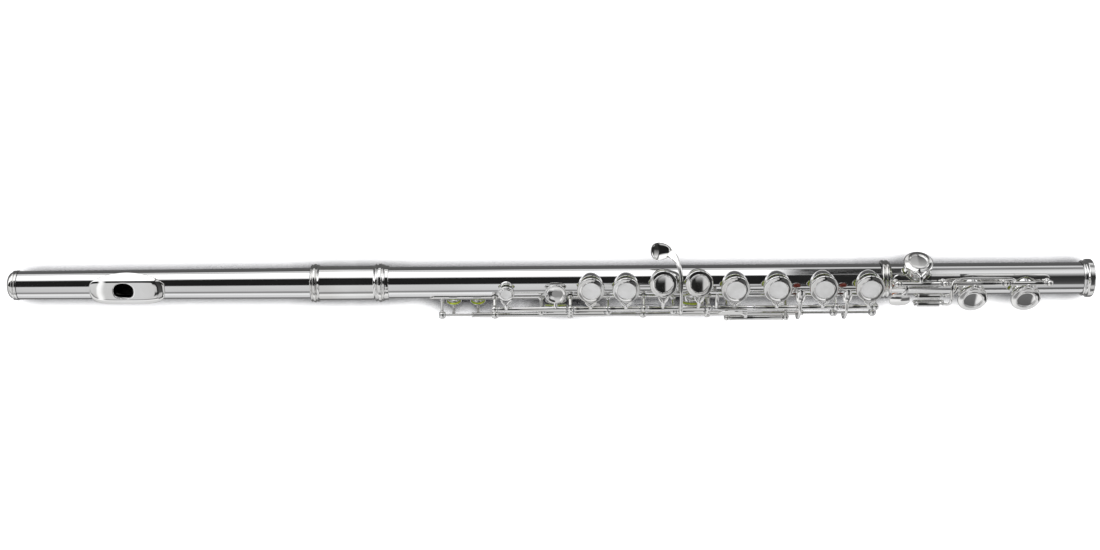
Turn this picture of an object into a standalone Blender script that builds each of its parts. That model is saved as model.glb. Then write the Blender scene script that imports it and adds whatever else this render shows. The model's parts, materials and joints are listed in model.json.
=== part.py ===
"""A concert flute with a C foot, closed-hole cups and an offset G.

The flute lies along +X, crown at the origin. It is modelled in a playing frame, whose +Z is the
direction that the stack's tone holes face and whose -Y is the player's side, where the rods run.
Angles round the tube are counted from +Z towards -Y. The playing frame is then rolled by LIE_ROLL
to the way the flute lies on a table. All sizes are in metres, and all angles in degrees.
"""

import math

import bmesh
import bpy
from mathutils import Matrix, Vector

LIE_ROLL = 17.0
GAP = 0.0003  # between two pieces that touch on the real flute

# How many sides a turned shape has
TUBE_STEPS = 24
CUP_STEPS = 16
SMALL_STEPS = 8
THIN_STEPS = 6
SMALL_RADIUS = 0.005  # a hole or cup below this is a small one

# Tubes
HEAD_END_X = 0.2300
BODY_START_X = 0.2306
BODY_SHOULDER_X = 0.5400
BODY_END_X = 0.5518
FOOT_START_X = 0.5403
FOOT_END_X = 0.6675
CROWN_LENGTH = 0.0068
TUBE_RADIUS = 0.0099
TUBE_WALL = 0.00045
HEAD_RADIUS_AT_CROWN = 0.0089
TENON_RADIUS = 0.0097
TAPER_END_X = 0.185
SOCKET_WALL = 0.0006
RING_RADIUS = 0.0119

# Embouchure
MOUTH_X = 0.0738
MOUTH_ANGLE = 3.0
MOUTH_HALF_LENGTH = 0.0062
MOUTH_HALF_WIDTH = 0.00525
RISER_WALL = 0.0014
LIP_X = 0.0755
LIP_ANGLE = -5.0
LIP_HALF_LENGTH = 0.0235
LIP_HALF_WIDTH = 0.0115
LIP_HALF_SPAN = 47.0
LIP_RADIUS = 0.0135
LIP_THICKNESS = 0.0007

# Stopper in the head
STOPPER_TO_MOUTH = 0.017
STOPPER_SCREW_RADIUS = 0.0012
CORK_LENGTH = 0.0165
DISC_THICKNESS = 0.0015

# Keywork
RIM_HEIGHT = 0.0126  # of every chimney, from the tube's axis
CHIMNEY_WALL = 0.0006
PAD_THICKNESS = 0.0020
PAD_PROUD = 0.0005
CUP_WALL = 0.0005
CUP_ROOF = 0.0008
KEY_TUBE_RADIUS = 0.0015
KEY_TUBE_BORE = 0.0011
ROD_RADIUS = 0.0008
ARM_RADIUS = 0.0009
POST_RADIUS = 0.0011
POST_HEAD_RADIUS = 0.0021
TRILL_TUBE_BORE = 0.00108
TRILL_SHAFT_RADIUS = 0.00075
TRILL_HEAD_RADIUS = 0.0025
STRAP_THICKNESS = 0.0008
TOUCH_THICKNESS = 0.0008
ARM_RISE = 0.0022  # of an arm's end, above the chimneys' rims
THUMB_TOUCH_RADIUS = 0.0152
ROLLER_START_X = 0.5602
ROLLER_END_X = 0.5740
ROLLER_RADIUS = 0.0017
ROLLER_BORE = 0.0008
ROLLER_PIN_RADIUS = 0.0005
YOKE_RADIUS = 0.0007
YOKE_DROP = 0.0030  # from a roller's pin down to the bar below the roller

# Each axis that keys turn on: distance from the tube's axis, and angle round the tube
MAIN_AXIS = (0.0186, 48.0)
TRILL_AXIS = (0.0206, 82.0)
THUMB_AXIS = (0.0192, 59.5)
SIDE_AXIS = (0.0233, 63.0)
FOOT_AXIS = (0.0175, -7.0)

# Each tone hole: place along the tube, angle round the tube, hole radius
BODY_HOLES = {
    "d_sharp_trill": (0.2757, 104.0, 0.0032),
    "d_trill": (0.2908, 104.0, 0.0032),
    "c_sharp": (0.3088, 7.0, 0.0034),
    "thumb": (0.3393, 88.0, 0.0058),
    "b_flat": (0.3607, 0.0, 0.0068),
    "a": (0.3824, 0.0, 0.0068),
    "g_upper": (0.4051, -15.0, 0.0068),
    "g_lower": (0.4270, -15.0, 0.0068),
    "g_sharp": (0.4240, 88.0, 0.0058),
    "f_sharp": (0.4493, 0.0, 0.0072),
    "f": (0.4752, 0.0, 0.0072),
    "e": (0.5034, 0.0, 0.0072),
    "d": (0.5316, 0.0, 0.0072),
}
FOOT_HOLES = {
    "foot_d_sharp": (0.5622, -60.0, 0.0074),
    "foot_c_sharp": (0.5951, 33.0, 0.0074),
    "foot_c": (0.6278, 33.0, 0.0074),
}
HOLES = BODY_HOLES | FOOT_HOLES
SEAT_OVERLAP = 0.0007  # how far a pad reaches past the rim that it closes

# How far each kind of key turns
STACK_OPENING = 10.0
THUMB_OPENING = 12.0
FOOT_OPENING = 10.0

# Posts, each with the axes that it carries
UPPER_POSTS = {0.2686: ("trill",), 0.3015: ("main", "trill"), 0.3302: ("thumb",)}
MIDDLE_POSTS = {
    0.3482: ("main", "thumb", "trill"),
    0.3716: ("thumb",),
    0.3935: ("main", "trill"),
    0.4116: ("thumb",),
}
LOWER_POSTS = {
    0.4333: ("main", "thumb", "trill"),
    0.4448: ("side",),
    0.4814: ("side",),
    0.5119: ("main", "trill"),
    0.5360: ("main", "trill"),
}
FOOT_POSTS = {0.5480: ("foot",), 0.5770: ("foot",), 0.6145: ("foot",), 0.6410: ("foot",)}
AXES = {
    "main": MAIN_AXIS,
    "trill": TRILL_AXIS,
    "thumb": THUMB_AXIS,
    "side": SIDE_AXIS,
    "foot": FOOT_AXIS,
}

SILVER = ((0.80, 0.81, 0.83), 0.12, 1.0)
STEEL = ((0.56, 0.57, 0.58), 0.22, 1.0)
SKIN = ((0.62, 0.66, 0.24), 0.55, 0.0)
CORK = ((0.50, 0.30, 0.17), 0.85, 0.0)
FELT = ((0.33, 0.10, 0.07), 0.95, 0.0)


# ---------------------------------------------------------------- helpers


def polar(x, radius, angle):
    """A point in the playing frame, from its place along the tube, its radius and its angle."""
    turn = math.radians(angle)
    return Vector((x, -radius * math.sin(turn), radius * math.cos(turn)))


def linked(mesh):
    piece = bpy.data.objects.new("piece", mesh)
    bpy.context.collection.objects.link(piece)
    return piece


def meshed(bm):
    """Closes a bmesh into an object, with its doubles merged and its faces pointing out."""
    bmesh.ops.remove_doubles(bm, verts=bm.verts, dist=1e-7)
    bmesh.ops.recalc_face_normals(bm, faces=bm.faces)
    mesh = bpy.data.meshes.new("piece")
    bm.to_mesh(mesh)
    bm.free()
    return linked(mesh)


def turned(profile, steps, axis="X"):
    """Turns a profile of (place along the axis, radius). It closes on itself unless it ends on the axis."""
    bm = bmesh.new()
    if axis == "X":
        verts = [bm.verts.new((along, 0, radius)) for along, radius in profile]
        direction = Vector((1, 0, 0))
    else:
        verts = [bm.verts.new((radius, 0, along)) for along, radius in profile]
        direction = Vector((0, 0, 1))
    edges = [bm.edges.new(pair) for pair in zip(verts, verts[1:])]
    if profile[0][1] > 0:
        edges.append(bm.edges.new((verts[-1], verts[0])))
    bmesh.ops.spin(
        bm, geom=verts + edges, cent=(0, 0, 0), axis=direction,
        angle=math.tau, steps=steps, use_merge=True, use_duplicate=False,
    )
    return meshed(bm)


def cylinder(start, end, radius, steps, axis="X"):
    return turned([(start, 0), (start, radius), (end, radius), (end, 0)], steps, axis)


def moved(piece, matrix):
    piece.data.transform(matrix)
    return piece


def oval_prism(half_length, half_width, low, high, steps=CUP_STEPS):
    """An upright prism on an ellipse."""
    bm = bmesh.new()
    bmesh.ops.create_circle(bm, cap_ends=True, radius=1, segments=steps)
    bmesh.ops.scale(bm, vec=(half_length, half_width, 1), verts=bm.verts)
    bmesh.ops.translate(bm, vec=(0, 0, low), verts=bm.verts)
    raised = bmesh.ops.extrude_face_region(bm, geom=bm.faces[:])
    tops = [item for item in raised["geom"] if isinstance(item, bmesh.types.BMVert)]
    bmesh.ops.translate(bm, vec=(0, 0, high - low), verts=tops)
    return meshed(bm)


def curved_plate(start_x, end_x, inner, outer, start_angle, end_angle, steps=8):
    """A piece of a pipe's wall, between two angles round the tube."""
    bm = bmesh.new()
    angles = [start_angle + (end_angle - start_angle) * i / steps for i in range(steps + 1)]
    ring = [polar(start_x, outer, angle) for angle in angles]
    ring += [polar(start_x, inner, angle) for angle in reversed(angles)]
    face = bm.faces.new([bm.verts.new(point) for point in ring])
    raised = bmesh.ops.extrude_face_region(bm, geom=[face])
    tops = [item for item in raised["geom"] if isinstance(item, bmesh.types.BMVert)]
    bmesh.ops.translate(bm, vec=(end_x - start_x, 0, 0), verts=tops)
    bmesh.ops.triangulate(bm, faces=[f for f in bm.faces if len(f.verts) > 4])
    return meshed(bm)


def bent_bar(points, radius, resolution=1):
    """A round bar along a chain of points, made as a bevelled curve with filled caps."""
    curve = bpy.data.curves.new("bar", "CURVE")
    curve.dimensions = "3D"
    curve.bevel_depth = radius
    curve.bevel_resolution = resolution
    curve.use_fill_caps = True
    spline = curve.splines.new("POLY")
    spline.points.add(len(points) - 1)
    for place, point in zip(spline.points, points):
        place.co = (*point, 1)
    source = linked(curve)
    graph = bpy.context.evaluated_depsgraph_get()
    bm = bmesh.new()
    bm.from_mesh(bpy.data.meshes.new_from_object(source.evaluated_get(graph)))
    bpy.data.objects.remove(source)
    return meshed(bm)


def combined(body, tools, operation):
    """Applies a Boolean for each tool and removes the tools. Triangles stay flat, where large faces don't."""
    for tool in tools:
        step = body.modifiers.new("step", "BOOLEAN")
        step.operation = operation
        step.solver = "EXACT"
        step.object = tool
        tool.hide_render = True
        tool.display_type = "WIRE"
    graph = bpy.context.evaluated_depsgraph_get()
    bm = bmesh.new()
    bm.from_mesh(bpy.data.meshes.new_from_object(body.evaluated_get(graph)))
    bmesh.ops.triangulate(bm, faces=bm.faces)
    bmesh.ops.remove_doubles(bm, verts=bm.verts, dist=1e-7)
    body.modifiers.clear()
    bm.to_mesh(body.data)
    bm.free()
    for tool in tools:
        bpy.data.objects.remove(tool)
    return body


def fused(body, *tools):
    return combined(body, tools, "UNION")


def cut(body, *tools):
    return combined(body, tools, "DIFFERENCE")


def frame(name, parent=None, location=(0, 0, 0), roll=0.0):
    empty = bpy.data.objects.new(name, None)
    bpy.context.collection.objects.link(empty)
    empty.empty_display_size = 0.01
    empty.parent = parent
    empty.location = location
    empty.rotation_euler = (math.radians(roll), 0, 0)
    return empty


def node(piece, name, parent, finish):
    """Names a finished piece, gives it its own material and hangs it on its frame."""
    colour, roughness, metallic = finish
    material = bpy.data.materials.new(name)
    material.use_nodes = True
    shader = material.node_tree.nodes["Principled BSDF"]
    shader.inputs["Base Color"].default_value = (*colour, 1)
    shader.inputs["Roughness"].default_value = roughness
    shader.inputs["Metallic"].default_value = metallic
    piece.name = name
    piece.data.name = name
    piece.data.materials.clear()
    piece.data.materials.append(material)
    piece.data.shade_smooth()
    piece.data.set_sharp_from_angle(angle=math.radians(30))
    piece.parent = parent
    return piece


def rim_radius(hole):
    return HOLES[hole][2] + CHIMNEY_WALL


def radial(x, angle):
    """Moves an upright piece to a place along the tube, turned to an angle round it."""
    return Matrix.Translation((x, 0, 0)) @ Matrix.Rotation(math.radians(angle), 4, "X")


# ---------------------------------------------------------------- head joint


def head_radius(x):
    """The head tube's outer radius, which grows evenly from the crown to the tenon."""
    share = min(max((x - CROWN_LENGTH) / (TAPER_END_X - CROWN_LENGTH), 0), 1)
    return HEAD_RADIUS_AT_CROWN + share * (TENON_RADIUS - HEAD_RADIUS_AT_CROWN)


def make_crown(parent):
    flat_radius = 0.0030
    dome_radius = HEAD_RADIUS_AT_CROWN - 0.0005
    dome_length = 0.0036
    bead = HEAD_RADIUS_AT_CROWN + 0.0004
    neck = HEAD_RADIUS_AT_CROWN - 0.0002
    plug = HEAD_RADIUS_AT_CROWN - TUBE_WALL - 0.00045
    thread = STOPPER_SCREW_RADIUS + GAP + 0.0001
    profile = [(0, 0)]
    for i in range(5):
        turn = math.radians(90 * i / 4)
        along = dome_length * (1 - math.cos(turn))
        profile.append((along, flat_radius + (dome_radius - flat_radius) * math.sin(turn)))
    profile += [
        (0.0038, bead - 0.0001), (0.0048, bead - 0.0001), (0.0049, neck), (0.0053, neck),
        (0.0054, bead), (CROWN_LENGTH, bead), (CROWN_LENGTH, plug), (CROWN_LENGTH + 0.004, plug),
        (CROWN_LENGTH + 0.004, thread), (0.0040, thread), (0.0040, 0),
    ]
    node(turned(profile, TUBE_STEPS), "crown", parent, SILVER)


def make_stopper(parent):
    face_x = MOUTH_X - STOPPER_TO_MOUTH
    disc_radius = head_radius(face_x - CORK_LENGTH) - TUBE_WALL - 2 * GAP
    cork_end = face_x - DISC_THICKNESS - GAP
    cork_start = cork_end - CORK_LENGTH
    back_end = cork_start - GAP
    back_start = back_end - DISC_THICKNESS
    screw_start = CROWN_LENGTH - 0.0018
    profile = [
        (screw_start, 0), (screw_start, STOPPER_SCREW_RADIUS), (back_start, STOPPER_SCREW_RADIUS),
        (back_start, disc_radius), (back_end, disc_radius), (back_end, STOPPER_SCREW_RADIUS),
        (face_x - DISC_THICKNESS, STOPPER_SCREW_RADIUS), (face_x - DISC_THICKNESS, disc_radius),
        (face_x, disc_radius), (face_x, 0),
    ]
    node(turned(profile, CUP_STEPS), "stopper_screw", parent, STEEL)
    bore = STOPPER_SCREW_RADIUS + GAP
    cork_radius = disc_radius + GAP / 2
    profile = [(cork_start, cork_radius), (cork_end, cork_radius), (cork_end, bore), (cork_start, bore)]
    node(turned(profile, CUP_STEPS), "stopper_cork", parent, CORK)


def mouth_cutter(half_length, half_width, low, high):
    return moved(oval_prism(half_length, half_width, low, high), radial(MOUTH_X, MOUTH_ANGLE))


def make_head(parent):
    start = CROWN_LENGTH + GAP
    outer = [(start, head_radius(start)), (TAPER_END_X, TENON_RADIUS), (HEAD_END_X - GAP, TENON_RADIUS)]
    inner = [(x, radius - TUBE_WALL) for x, radius in reversed(outer)]
    tube = turned(outer + inner, TUBE_STEPS)
    cut(tube, mouth_cutter(MOUTH_HALF_LENGTH, MOUTH_HALF_WIDTH, 0, 0.02))
    node(tube, "head_tube", parent, SILVER)

    under_plate = LIP_RADIUS - LIP_THICKNESS - GAP
    riser = mouth_cutter(MOUTH_HALF_LENGTH + RISER_WALL, MOUTH_HALF_WIDTH + RISER_WALL, 0.006, 0.016)
    limit = cylinder(LIP_X - 0.03, LIP_X + 0.03, under_plate, TUBE_STEPS)
    combined(riser, [limit], "INTERSECT")
    seat = head_radius(MOUTH_X + MOUTH_HALF_LENGTH + RISER_WALL) + GAP
    cut(
        riser, cylinder(LIP_X - 0.03, LIP_X + 0.03, seat, TUBE_STEPS),
        mouth_cutter(MOUTH_HALF_LENGTH, MOUTH_HALF_WIDTH, 0, 0.02),
    )
    node(riser, "riser", parent, SILVER)

    plate = curved_plate(
        LIP_X - LIP_HALF_LENGTH, LIP_X + LIP_HALF_LENGTH, LIP_RADIUS - LIP_THICKNESS, LIP_RADIUS,
        LIP_ANGLE - LIP_HALF_SPAN, LIP_ANGLE + LIP_HALF_SPAN, steps=16,
    )
    outline = oval_prism(LIP_HALF_LENGTH - GAP, LIP_HALF_WIDTH, 0, 0.02, steps=32)
    combined(plate, [moved(outline, radial(LIP_X, LIP_ANGLE))], "INTERSECT")
    cut(plate, mouth_cutter(MOUTH_HALF_LENGTH, MOUTH_HALF_WIDTH, 0, 0.02))
    node(plate, "lip_plate", parent, SILVER)


# ---------------------------------------------------------------- body and foot tubes


def chimney(hole, height):
    x, angle, _ = HOLES[hole]
    steps = CUP_STEPS if rim_radius(hole) > SMALL_RADIUS else SMALL_STEPS
    return moved(cylinder(0.003, height, rim_radius(hole), steps, "Z"), radial(x, angle))


def hole_cutter(hole):
    x, angle, radius = HOLES[hole]
    steps = CUP_STEPS if radius > SMALL_RADIUS else SMALL_STEPS
    return moved(cylinder(0, 0.02, radius, steps, "Z"), radial(x, angle))


def with_chimneys(tube, holes, bore):
    """Draws the chimneys up from a solid tube, then bores the tube and the holes."""
    fused(tube, *[chimney(hole, RIM_HEIGHT) for hole in holes])
    return cut(tube, fused(bore, *[hole_cutter(hole) for hole in holes]))


def make_barrel(parent):
    start = 0.188
    wall = TENON_RADIUS + GAP + SOCKET_WALL
    lip = RING_RADIUS - 0.0007
    body_seat = TUBE_RADIUS + GAP
    seat_start = BODY_START_X - GAP
    profile = [
        (start, lip), (start + 0.0010, RING_RADIUS), (start + 0.0030, RING_RADIUS),
        (start + 0.0036, lip), (start + 0.0052, lip), (start + 0.0056, wall),
        (0.2274, wall), (0.2278, lip), (0.2292, lip), (0.2300, RING_RADIUS),
        (0.2320, RING_RADIUS), (0.2330, lip), (0.2338, body_seat + SOCKET_WALL),
        (0.2362, body_seat + SOCKET_WALL), (0.2362, body_seat), (seat_start, body_seat),
        (seat_start, TENON_RADIUS + GAP), (start, TENON_RADIUS + GAP),
    ]
    node(turned(profile, TUBE_STEPS), "barrel", parent, SILVER)


def make_body_tube(parent):
    """The tube narrows at its end to the tenon that the foot slides over."""
    bore = TUBE_RADIUS - TUBE_WALL
    tenon = bore - GAP
    solid = turned([
        (BODY_START_X, 0), (BODY_START_X, TUBE_RADIUS), (BODY_SHOULDER_X, TUBE_RADIUS),
        (BODY_SHOULDER_X, tenon), (BODY_END_X, tenon), (BODY_END_X, 0),
    ], TUBE_STEPS)
    taper_x = BODY_SHOULDER_X - 0.0006
    hollow = turned([
        (BODY_START_X - 0.01, 0), (BODY_START_X - 0.01, bore), (taper_x, bore),
        (BODY_SHOULDER_X - 0.0001, tenon - TUBE_WALL), (BODY_END_X + 0.01, tenon - TUBE_WALL),
        (BODY_END_X + 0.01, 0),
    ], TUBE_STEPS)
    node(with_chimneys(solid, BODY_HOLES, hollow), "body_tube", parent, SILVER)


def make_foot_tubes(parent):
    solid = cylinder(FOOT_START_X, FOOT_END_X, TUBE_RADIUS, TUBE_STEPS)
    hollow = cylinder(FOOT_START_X - 0.01, FOOT_END_X + 0.01, TUBE_RADIUS - TUBE_WALL, TUBE_STEPS)
    node(with_chimneys(solid, FOOT_HOLES, hollow), "foot_tube", parent, SILVER)

    inner = TUBE_RADIUS + GAP
    start = FOOT_START_X
    profile = [
        (start, inner), (start, RING_RADIUS - 0.0004), (start + 0.0006, RING_RADIUS),
        (start + 0.0040, RING_RADIUS), (start + 0.0058, RING_RADIUS - 0.0009), (start + 0.0058, inner),
    ]
    node(turned(list(reversed(profile)), TUBE_STEPS), "foot_socket_ring", parent, SILVER)

    end = FOOT_END_X + 0.0035
    lip_radius = TUBE_RADIUS - TUBE_WALL + 0.0002
    profile = [
        (end - 0.0065, inner), (end - 0.0065, inner + 0.0006), (end - 0.0040, inner + 0.0010),
        (end - 0.0034, RING_RADIUS), (end - 0.0006, RING_RADIUS), (end, RING_RADIUS - 0.0004),
        (end, lip_radius), (FOOT_END_X + GAP, lip_radius), (FOOT_END_X + GAP, inner),
    ]
    node(turned(list(reversed(profile)), TUBE_STEPS), "foot_end_ring", parent, SILVER)


# ---------------------------------------------------------------- ribs, posts and rods


def head_size(axis_name):
    """A post head's radius and the bore through it."""
    if axis_name == "trill":
        return TRILL_HEAD_RADIUS, KEY_TUBE_RADIUS + GAP
    return POST_HEAD_RADIUS, ROD_RADIUS + GAP


def make_rib(name, start_x, end_x, start_angle, end_angle, posts, holes, parent):
    """A strap soldered along the tube, with its posts. It is cut clear of the chimneys beside it."""
    inner = TUBE_RADIUS + GAP
    outer = inner + STRAP_THICKNESS
    strap = curved_plate(start_x, end_x, inner, outer, start_angle, end_angle, steps=4)
    pieces = []
    bores = []
    for x, axis_names in posts.items():
        for axis_name in axis_names:
            radius, angle = AXES[axis_name]
            half_length, bore = head_size(axis_name)
            stem = cylinder(inner + 0.0003, radius, POST_RADIUS, THIN_STEPS, "Z")
            pieces.append(moved(stem, radial(x, angle)))
            on_axis = Matrix.Translation(polar(0, radius, angle))
            head = cylinder(x - half_length * 0.8, x + half_length * 0.8, half_length, SMALL_STEPS)
            pieces.append(moved(head, on_axis))
            off_edges = Matrix.Rotation(math.radians(7), 4, "X")
            drill = cylinder(x - 0.005, x + 0.005, bore, SMALL_STEPS)
            bores.append(moved(drill, on_axis @ off_edges))
    fused(strap, *pieces)
    for hole in holes:
        x, angle, _ = HOLES[hole]
        tool = cylinder(0, 0.0125, rim_radius(hole) + 0.0004, CUP_STEPS, "Z")
        bores.append(moved(tool, radial(x, angle)))
    cut(strap, *bores)
    node(strap, name, parent, SILVER)


def make_rod(name, start_x, end_x, axis, parent):
    rod = cylinder(start_x, end_x, ROD_RADIUS, THIN_STEPS)
    node(moved(rod, Matrix.Translation(polar(0, *axis))), name, parent, STEEL)


def make_body_ribs(parent):
    make_rib("upper_rib", 0.2610, 0.3322, 45, 87, UPPER_POSTS, ("d_sharp_trill", "d_trill"), parent)
    make_rib("middle_rib", 0.3466, 0.4136, 43, 87, MIDDLE_POSTS, ("b_flat", "a"), parent)
    make_rib(
        "lower_rib", 0.4322, 0.5382, 43, 87, LOWER_POSTS, ("g_lower", "f_sharp", "f", "e", "d"), parent,
    )
    make_rod("left_rod", 0.3000, 0.3929, MAIN_AXIS, parent)
    make_rod("g_rod", 0.3940, 0.4327, MAIN_AXIS, parent)
    make_rod("right_rod", 0.4338, 0.5378, MAIN_AXIS, parent)
    make_rod("thumb_rod", 0.3286, 0.3732, THUMB_AXIS, parent)
    make_rod("g_sharp_rod", 0.4100, 0.4350, THUMB_AXIS, parent)
    make_rod("side_lever_rod", 0.4432, 0.4830, SIDE_AXIS, parent)


def make_foot_rib(parent):
    make_rib("foot_rib", 0.5465, 0.6428, -34, 9, FOOT_POSTS, FOOT_HOLES, parent)
    make_rod("foot_rod", 0.5464, 0.6428, FOOT_AXIS, parent)


# ---------------------------------------------------------------- keys


class Key:
    """One key: what is soldered together and turns on one axis.

    It is modelled as it stands when its cup is shut, in a frame on its axis whose +Z is the way
    the cup faces. The frame is then turned to the way the key stands at rest.
    """

    def __init__(self, name, x, axis, facing, opened, parent):
        self.name = name
        self.centre = polar(x, *axis)
        self.facing = facing
        self.frame = frame(f"{name}_axis", parent, self.centre, facing + opened)
        self.to_local = Matrix.Rotation(-math.radians(facing), 4, "X") @ Matrix.Translation(-self.centre)
        self.solids = []
        self.bore = KEY_TUBE_BORE
        self.tube_ends = (x, x)

    def point(self, x, radius, angle):
        return self.to_local @ polar(x, radius, angle)

    def add_tube(self, start_x, end_x, radius=KEY_TUBE_RADIUS, bore=KEY_TUBE_BORE):
        self.tube_ends = (start_x, end_x)
        self.bore = bore
        shift = Matrix.Translation((-self.centre.x, 0, 0))
        self.solids.append(moved(cylinder(start_x, end_x, radius, SMALL_STEPS), shift))

    def add_bar(self, places, radius=ARM_RADIUS):
        self.solids.append(bent_bar([self.point(*place) for place in places], radius))

    def add_plate(self, start_x, end_x, inner, outer, start_angle, end_angle):
        plate = curved_plate(start_x, end_x, inner, outer, start_angle, end_angle, steps=4)
        self.solids.append(moved(plate, self.to_local))

    def add_disc(self, x, radius, angle, half_length, half_width, thickness):
        """A flat oval touch."""
        disc = oval_prism(half_length, half_width, radius, radius + thickness)
        self.solids.append(moved(disc, self.to_local @ radial(x, angle)))

    def add_cup(self, hole, roof_share=1.0):
        """A cup over a tone hole, and the pad in it. roof_share narrows the roof, as on a cone."""
        x, angle, hole_radius = HOLES[hole]
        pad_radius = hole_radius + CHIMNEY_WALL + SEAT_OVERLAP - 0.0004
        inner = pad_radius + GAP
        outer = inner + CUP_WALL
        pad_low = RIM_HEIGHT + GAP
        low = pad_low + PAD_PROUD
        roof = pad_low + PAD_THICKNESS + GAP
        high = roof + CUP_ROOF
        steps = CUP_STEPS if outer > SMALL_RADIUS else SMALL_STEPS
        shoulder = (outer - 0.0007) * roof_share
        profile = [
            (high, 0), (high, shoulder - 0.0006), (high - 0.0003, shoulder),
            (high - 0.0011 if roof_share == 1 else low + 0.0006, outer), (low, outer),
            (low, inner), (roof, inner if roof_share == 1 else inner * 0.8), (roof, 0),
        ]
        place = self.to_local @ radial(x, angle)
        self.solids.append(moved(turned(profile, steps, "Z"), place))
        pad_roof = pad_low + PAD_THICKNESS
        pad = [(pad_low, 0), (pad_low, pad_radius), (low + 0.0004, pad_radius)]
        if roof_share == 1:
            pad += [(pad_roof, pad_radius), (pad_roof, 0)]
        else:
            pad += [(low + 0.0006, 0)]
        node(moved(turned(pad, steps, "Z"), place), f"{hole}_pad", self.frame, SKIN)
        return high

    def finish(self):
        body = self.solids[0]
        if len(self.solids) > 1:
            fused(body, *self.solids[1:])
        if self.bore:
            start, end = (x - self.centre.x for x in self.tube_ends)
            cut(body, cylinder(start - 0.02, end + 0.02, self.bore, SMALL_STEPS))
        node(body, self.name, self.frame, SILVER)


def cup_arm(key, hole, axis):
    """An arm from the key's tube to the rod side of a cup."""
    x, angle, hole_radius = HOLES[hole]
    edge = hole_radius + CHIMNEY_WALL + SEAT_OVERLAP
    height = RIM_HEIGHT + ARM_RISE
    side = 1 if axis[1] > angle else -1
    edge_angle = angle + side * math.degrees(math.atan2(edge, height))
    edge_radius = math.hypot(edge, height)
    key.add_bar([(x, *axis), (x, edge_radius, edge_angle)])


def make_stack_keys(parent):
    tubes = {
        "b_flat": (0.3506, 0.3710), "a": (0.3716, 0.3912), "f_sharp": (0.4358, 0.4614),
        "f": (0.4620, 0.4880), "e": (0.4886, 0.5095), "d": (0.5143, 0.5337),
    }
    for hole, (start, end) in tubes.items():
        key = Key(f"{hole}_key", HOLES[hole][0], MAIN_AXIS, HOLES[hole][1], STACK_OPENING, parent)
        key.add_tube(start, end)
        key.add_cup(hole)
        cup_arm(key, hole, MAIN_AXIS)
        key.finish()


def make_g_key(parent):
    facing = HOLES["g_upper"][1]
    key = Key("g_key", 0.4160, MAIN_AXIS, facing, STACK_OPENING, parent)
    key.add_tube(0.3959, 0.4309)
    for hole in ("g_upper", "g_lower"):
        key.add_cup(hole)
        cup_arm(key, hole, MAIN_AXIS)
    key.finish()


def make_c_key(parent):
    """The left index finger's key: a touch on the same tube as the small C sharp cup."""
    touch_x = 0.3391
    key = Key("c_key", touch_x, MAIN_AXIS, HOLES["c_sharp"][1], STACK_OPENING, parent)
    key.add_tube(0.3039, 0.3458)
    key.add_cup("c_sharp")
    cup_arm(key, "c_sharp", MAIN_AXIS)
    touch_radius = 0.0068
    touch_thickness = 0.0013
    touch_height = RIM_HEIGHT + ARM_RISE
    facing = HOLES["c_sharp"][1]
    key.add_disc(touch_x, touch_height, facing, touch_radius, touch_radius, touch_thickness)
    edge = touch_radius - 0.0013
    angle = facing + math.degrees(math.atan2(edge, touch_height))
    key.add_bar([
        (touch_x, *MAIN_AXIS), (touch_x, math.hypot(edge, touch_height) + touch_thickness / 2, angle),
    ])
    key.finish()


def make_thumb_keys(parent):
    """The thumb's two touches lie side by side: its own cup's, and the B flat lever's."""
    inner = THUMB_TOUCH_RADIUS
    outer = inner + TOUCH_THICKNESS
    facing = HOLES["thumb"][1]
    key = Key("thumb_key", HOLES["thumb"][0], THUMB_AXIS, facing, -THUMB_OPENING, parent)
    key.add_tube(0.3326, 0.3458)
    key.add_cup("thumb")
    cup_arm(key, "thumb", THUMB_AXIS)
    key.add_bar([(0.3425, 0.0165, 91), (0.3465, 0.0165, 94), (0.3505, outer, 99)])
    key.add_plate(0.3495, 0.3575, inner, outer, 92, 110)
    key.finish()

    lever = Key("thumb_b_flat_lever", 0.3600, THUMB_AXIS, facing, -THUMB_OPENING / 2, parent)
    lever.add_tube(0.3506, 0.3692)
    lever.add_bar([(0.3640, *THUMB_AXIS), (0.3640, 0.0172, 70), (0.3640, inner + TOUCH_THICKNESS / 2, 94)])
    lever.add_plate(0.3590, 0.3670, inner, outer, 92, 110)
    lever.finish()


def make_g_sharp_key(parent):
    """A closed key at the back. Its lever crosses the tube between the two G cups."""
    key = Key("g_sharp_key", HOLES["g_sharp"][0], THUMB_AXIS, HOLES["g_sharp"][1], 0, parent)
    key.add_tube(0.4140, 0.4309)
    key.add_cup("g_sharp")
    cup_arm(key, "g_sharp", THUMB_AXIS)
    lever_x = 0.4160
    key.add_bar([
        (lever_x, *THUMB_AXIS), (lever_x, 0.0222, 52), (lever_x, 0.0222, 38), (lever_x, 0.0186, 12),
        (lever_x, 0.0164, -20), (lever_x - 0.0015, 0.0172, -50), (lever_x - 0.0065, 0.0190, -76),
        (lever_x - 0.0105, 0.0196, -87),
    ])
    touch_height = 0.0060
    touch = oval_prism(0.0065, 0.0058, touch_height, touch_height + 0.0011)
    place = radial(0.4045, -LIE_ROLL) @ Matrix.Translation((0, 0.0182, 0))
    key.solids.append(moved(touch, key.to_local @ place))
    key.finish()


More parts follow.
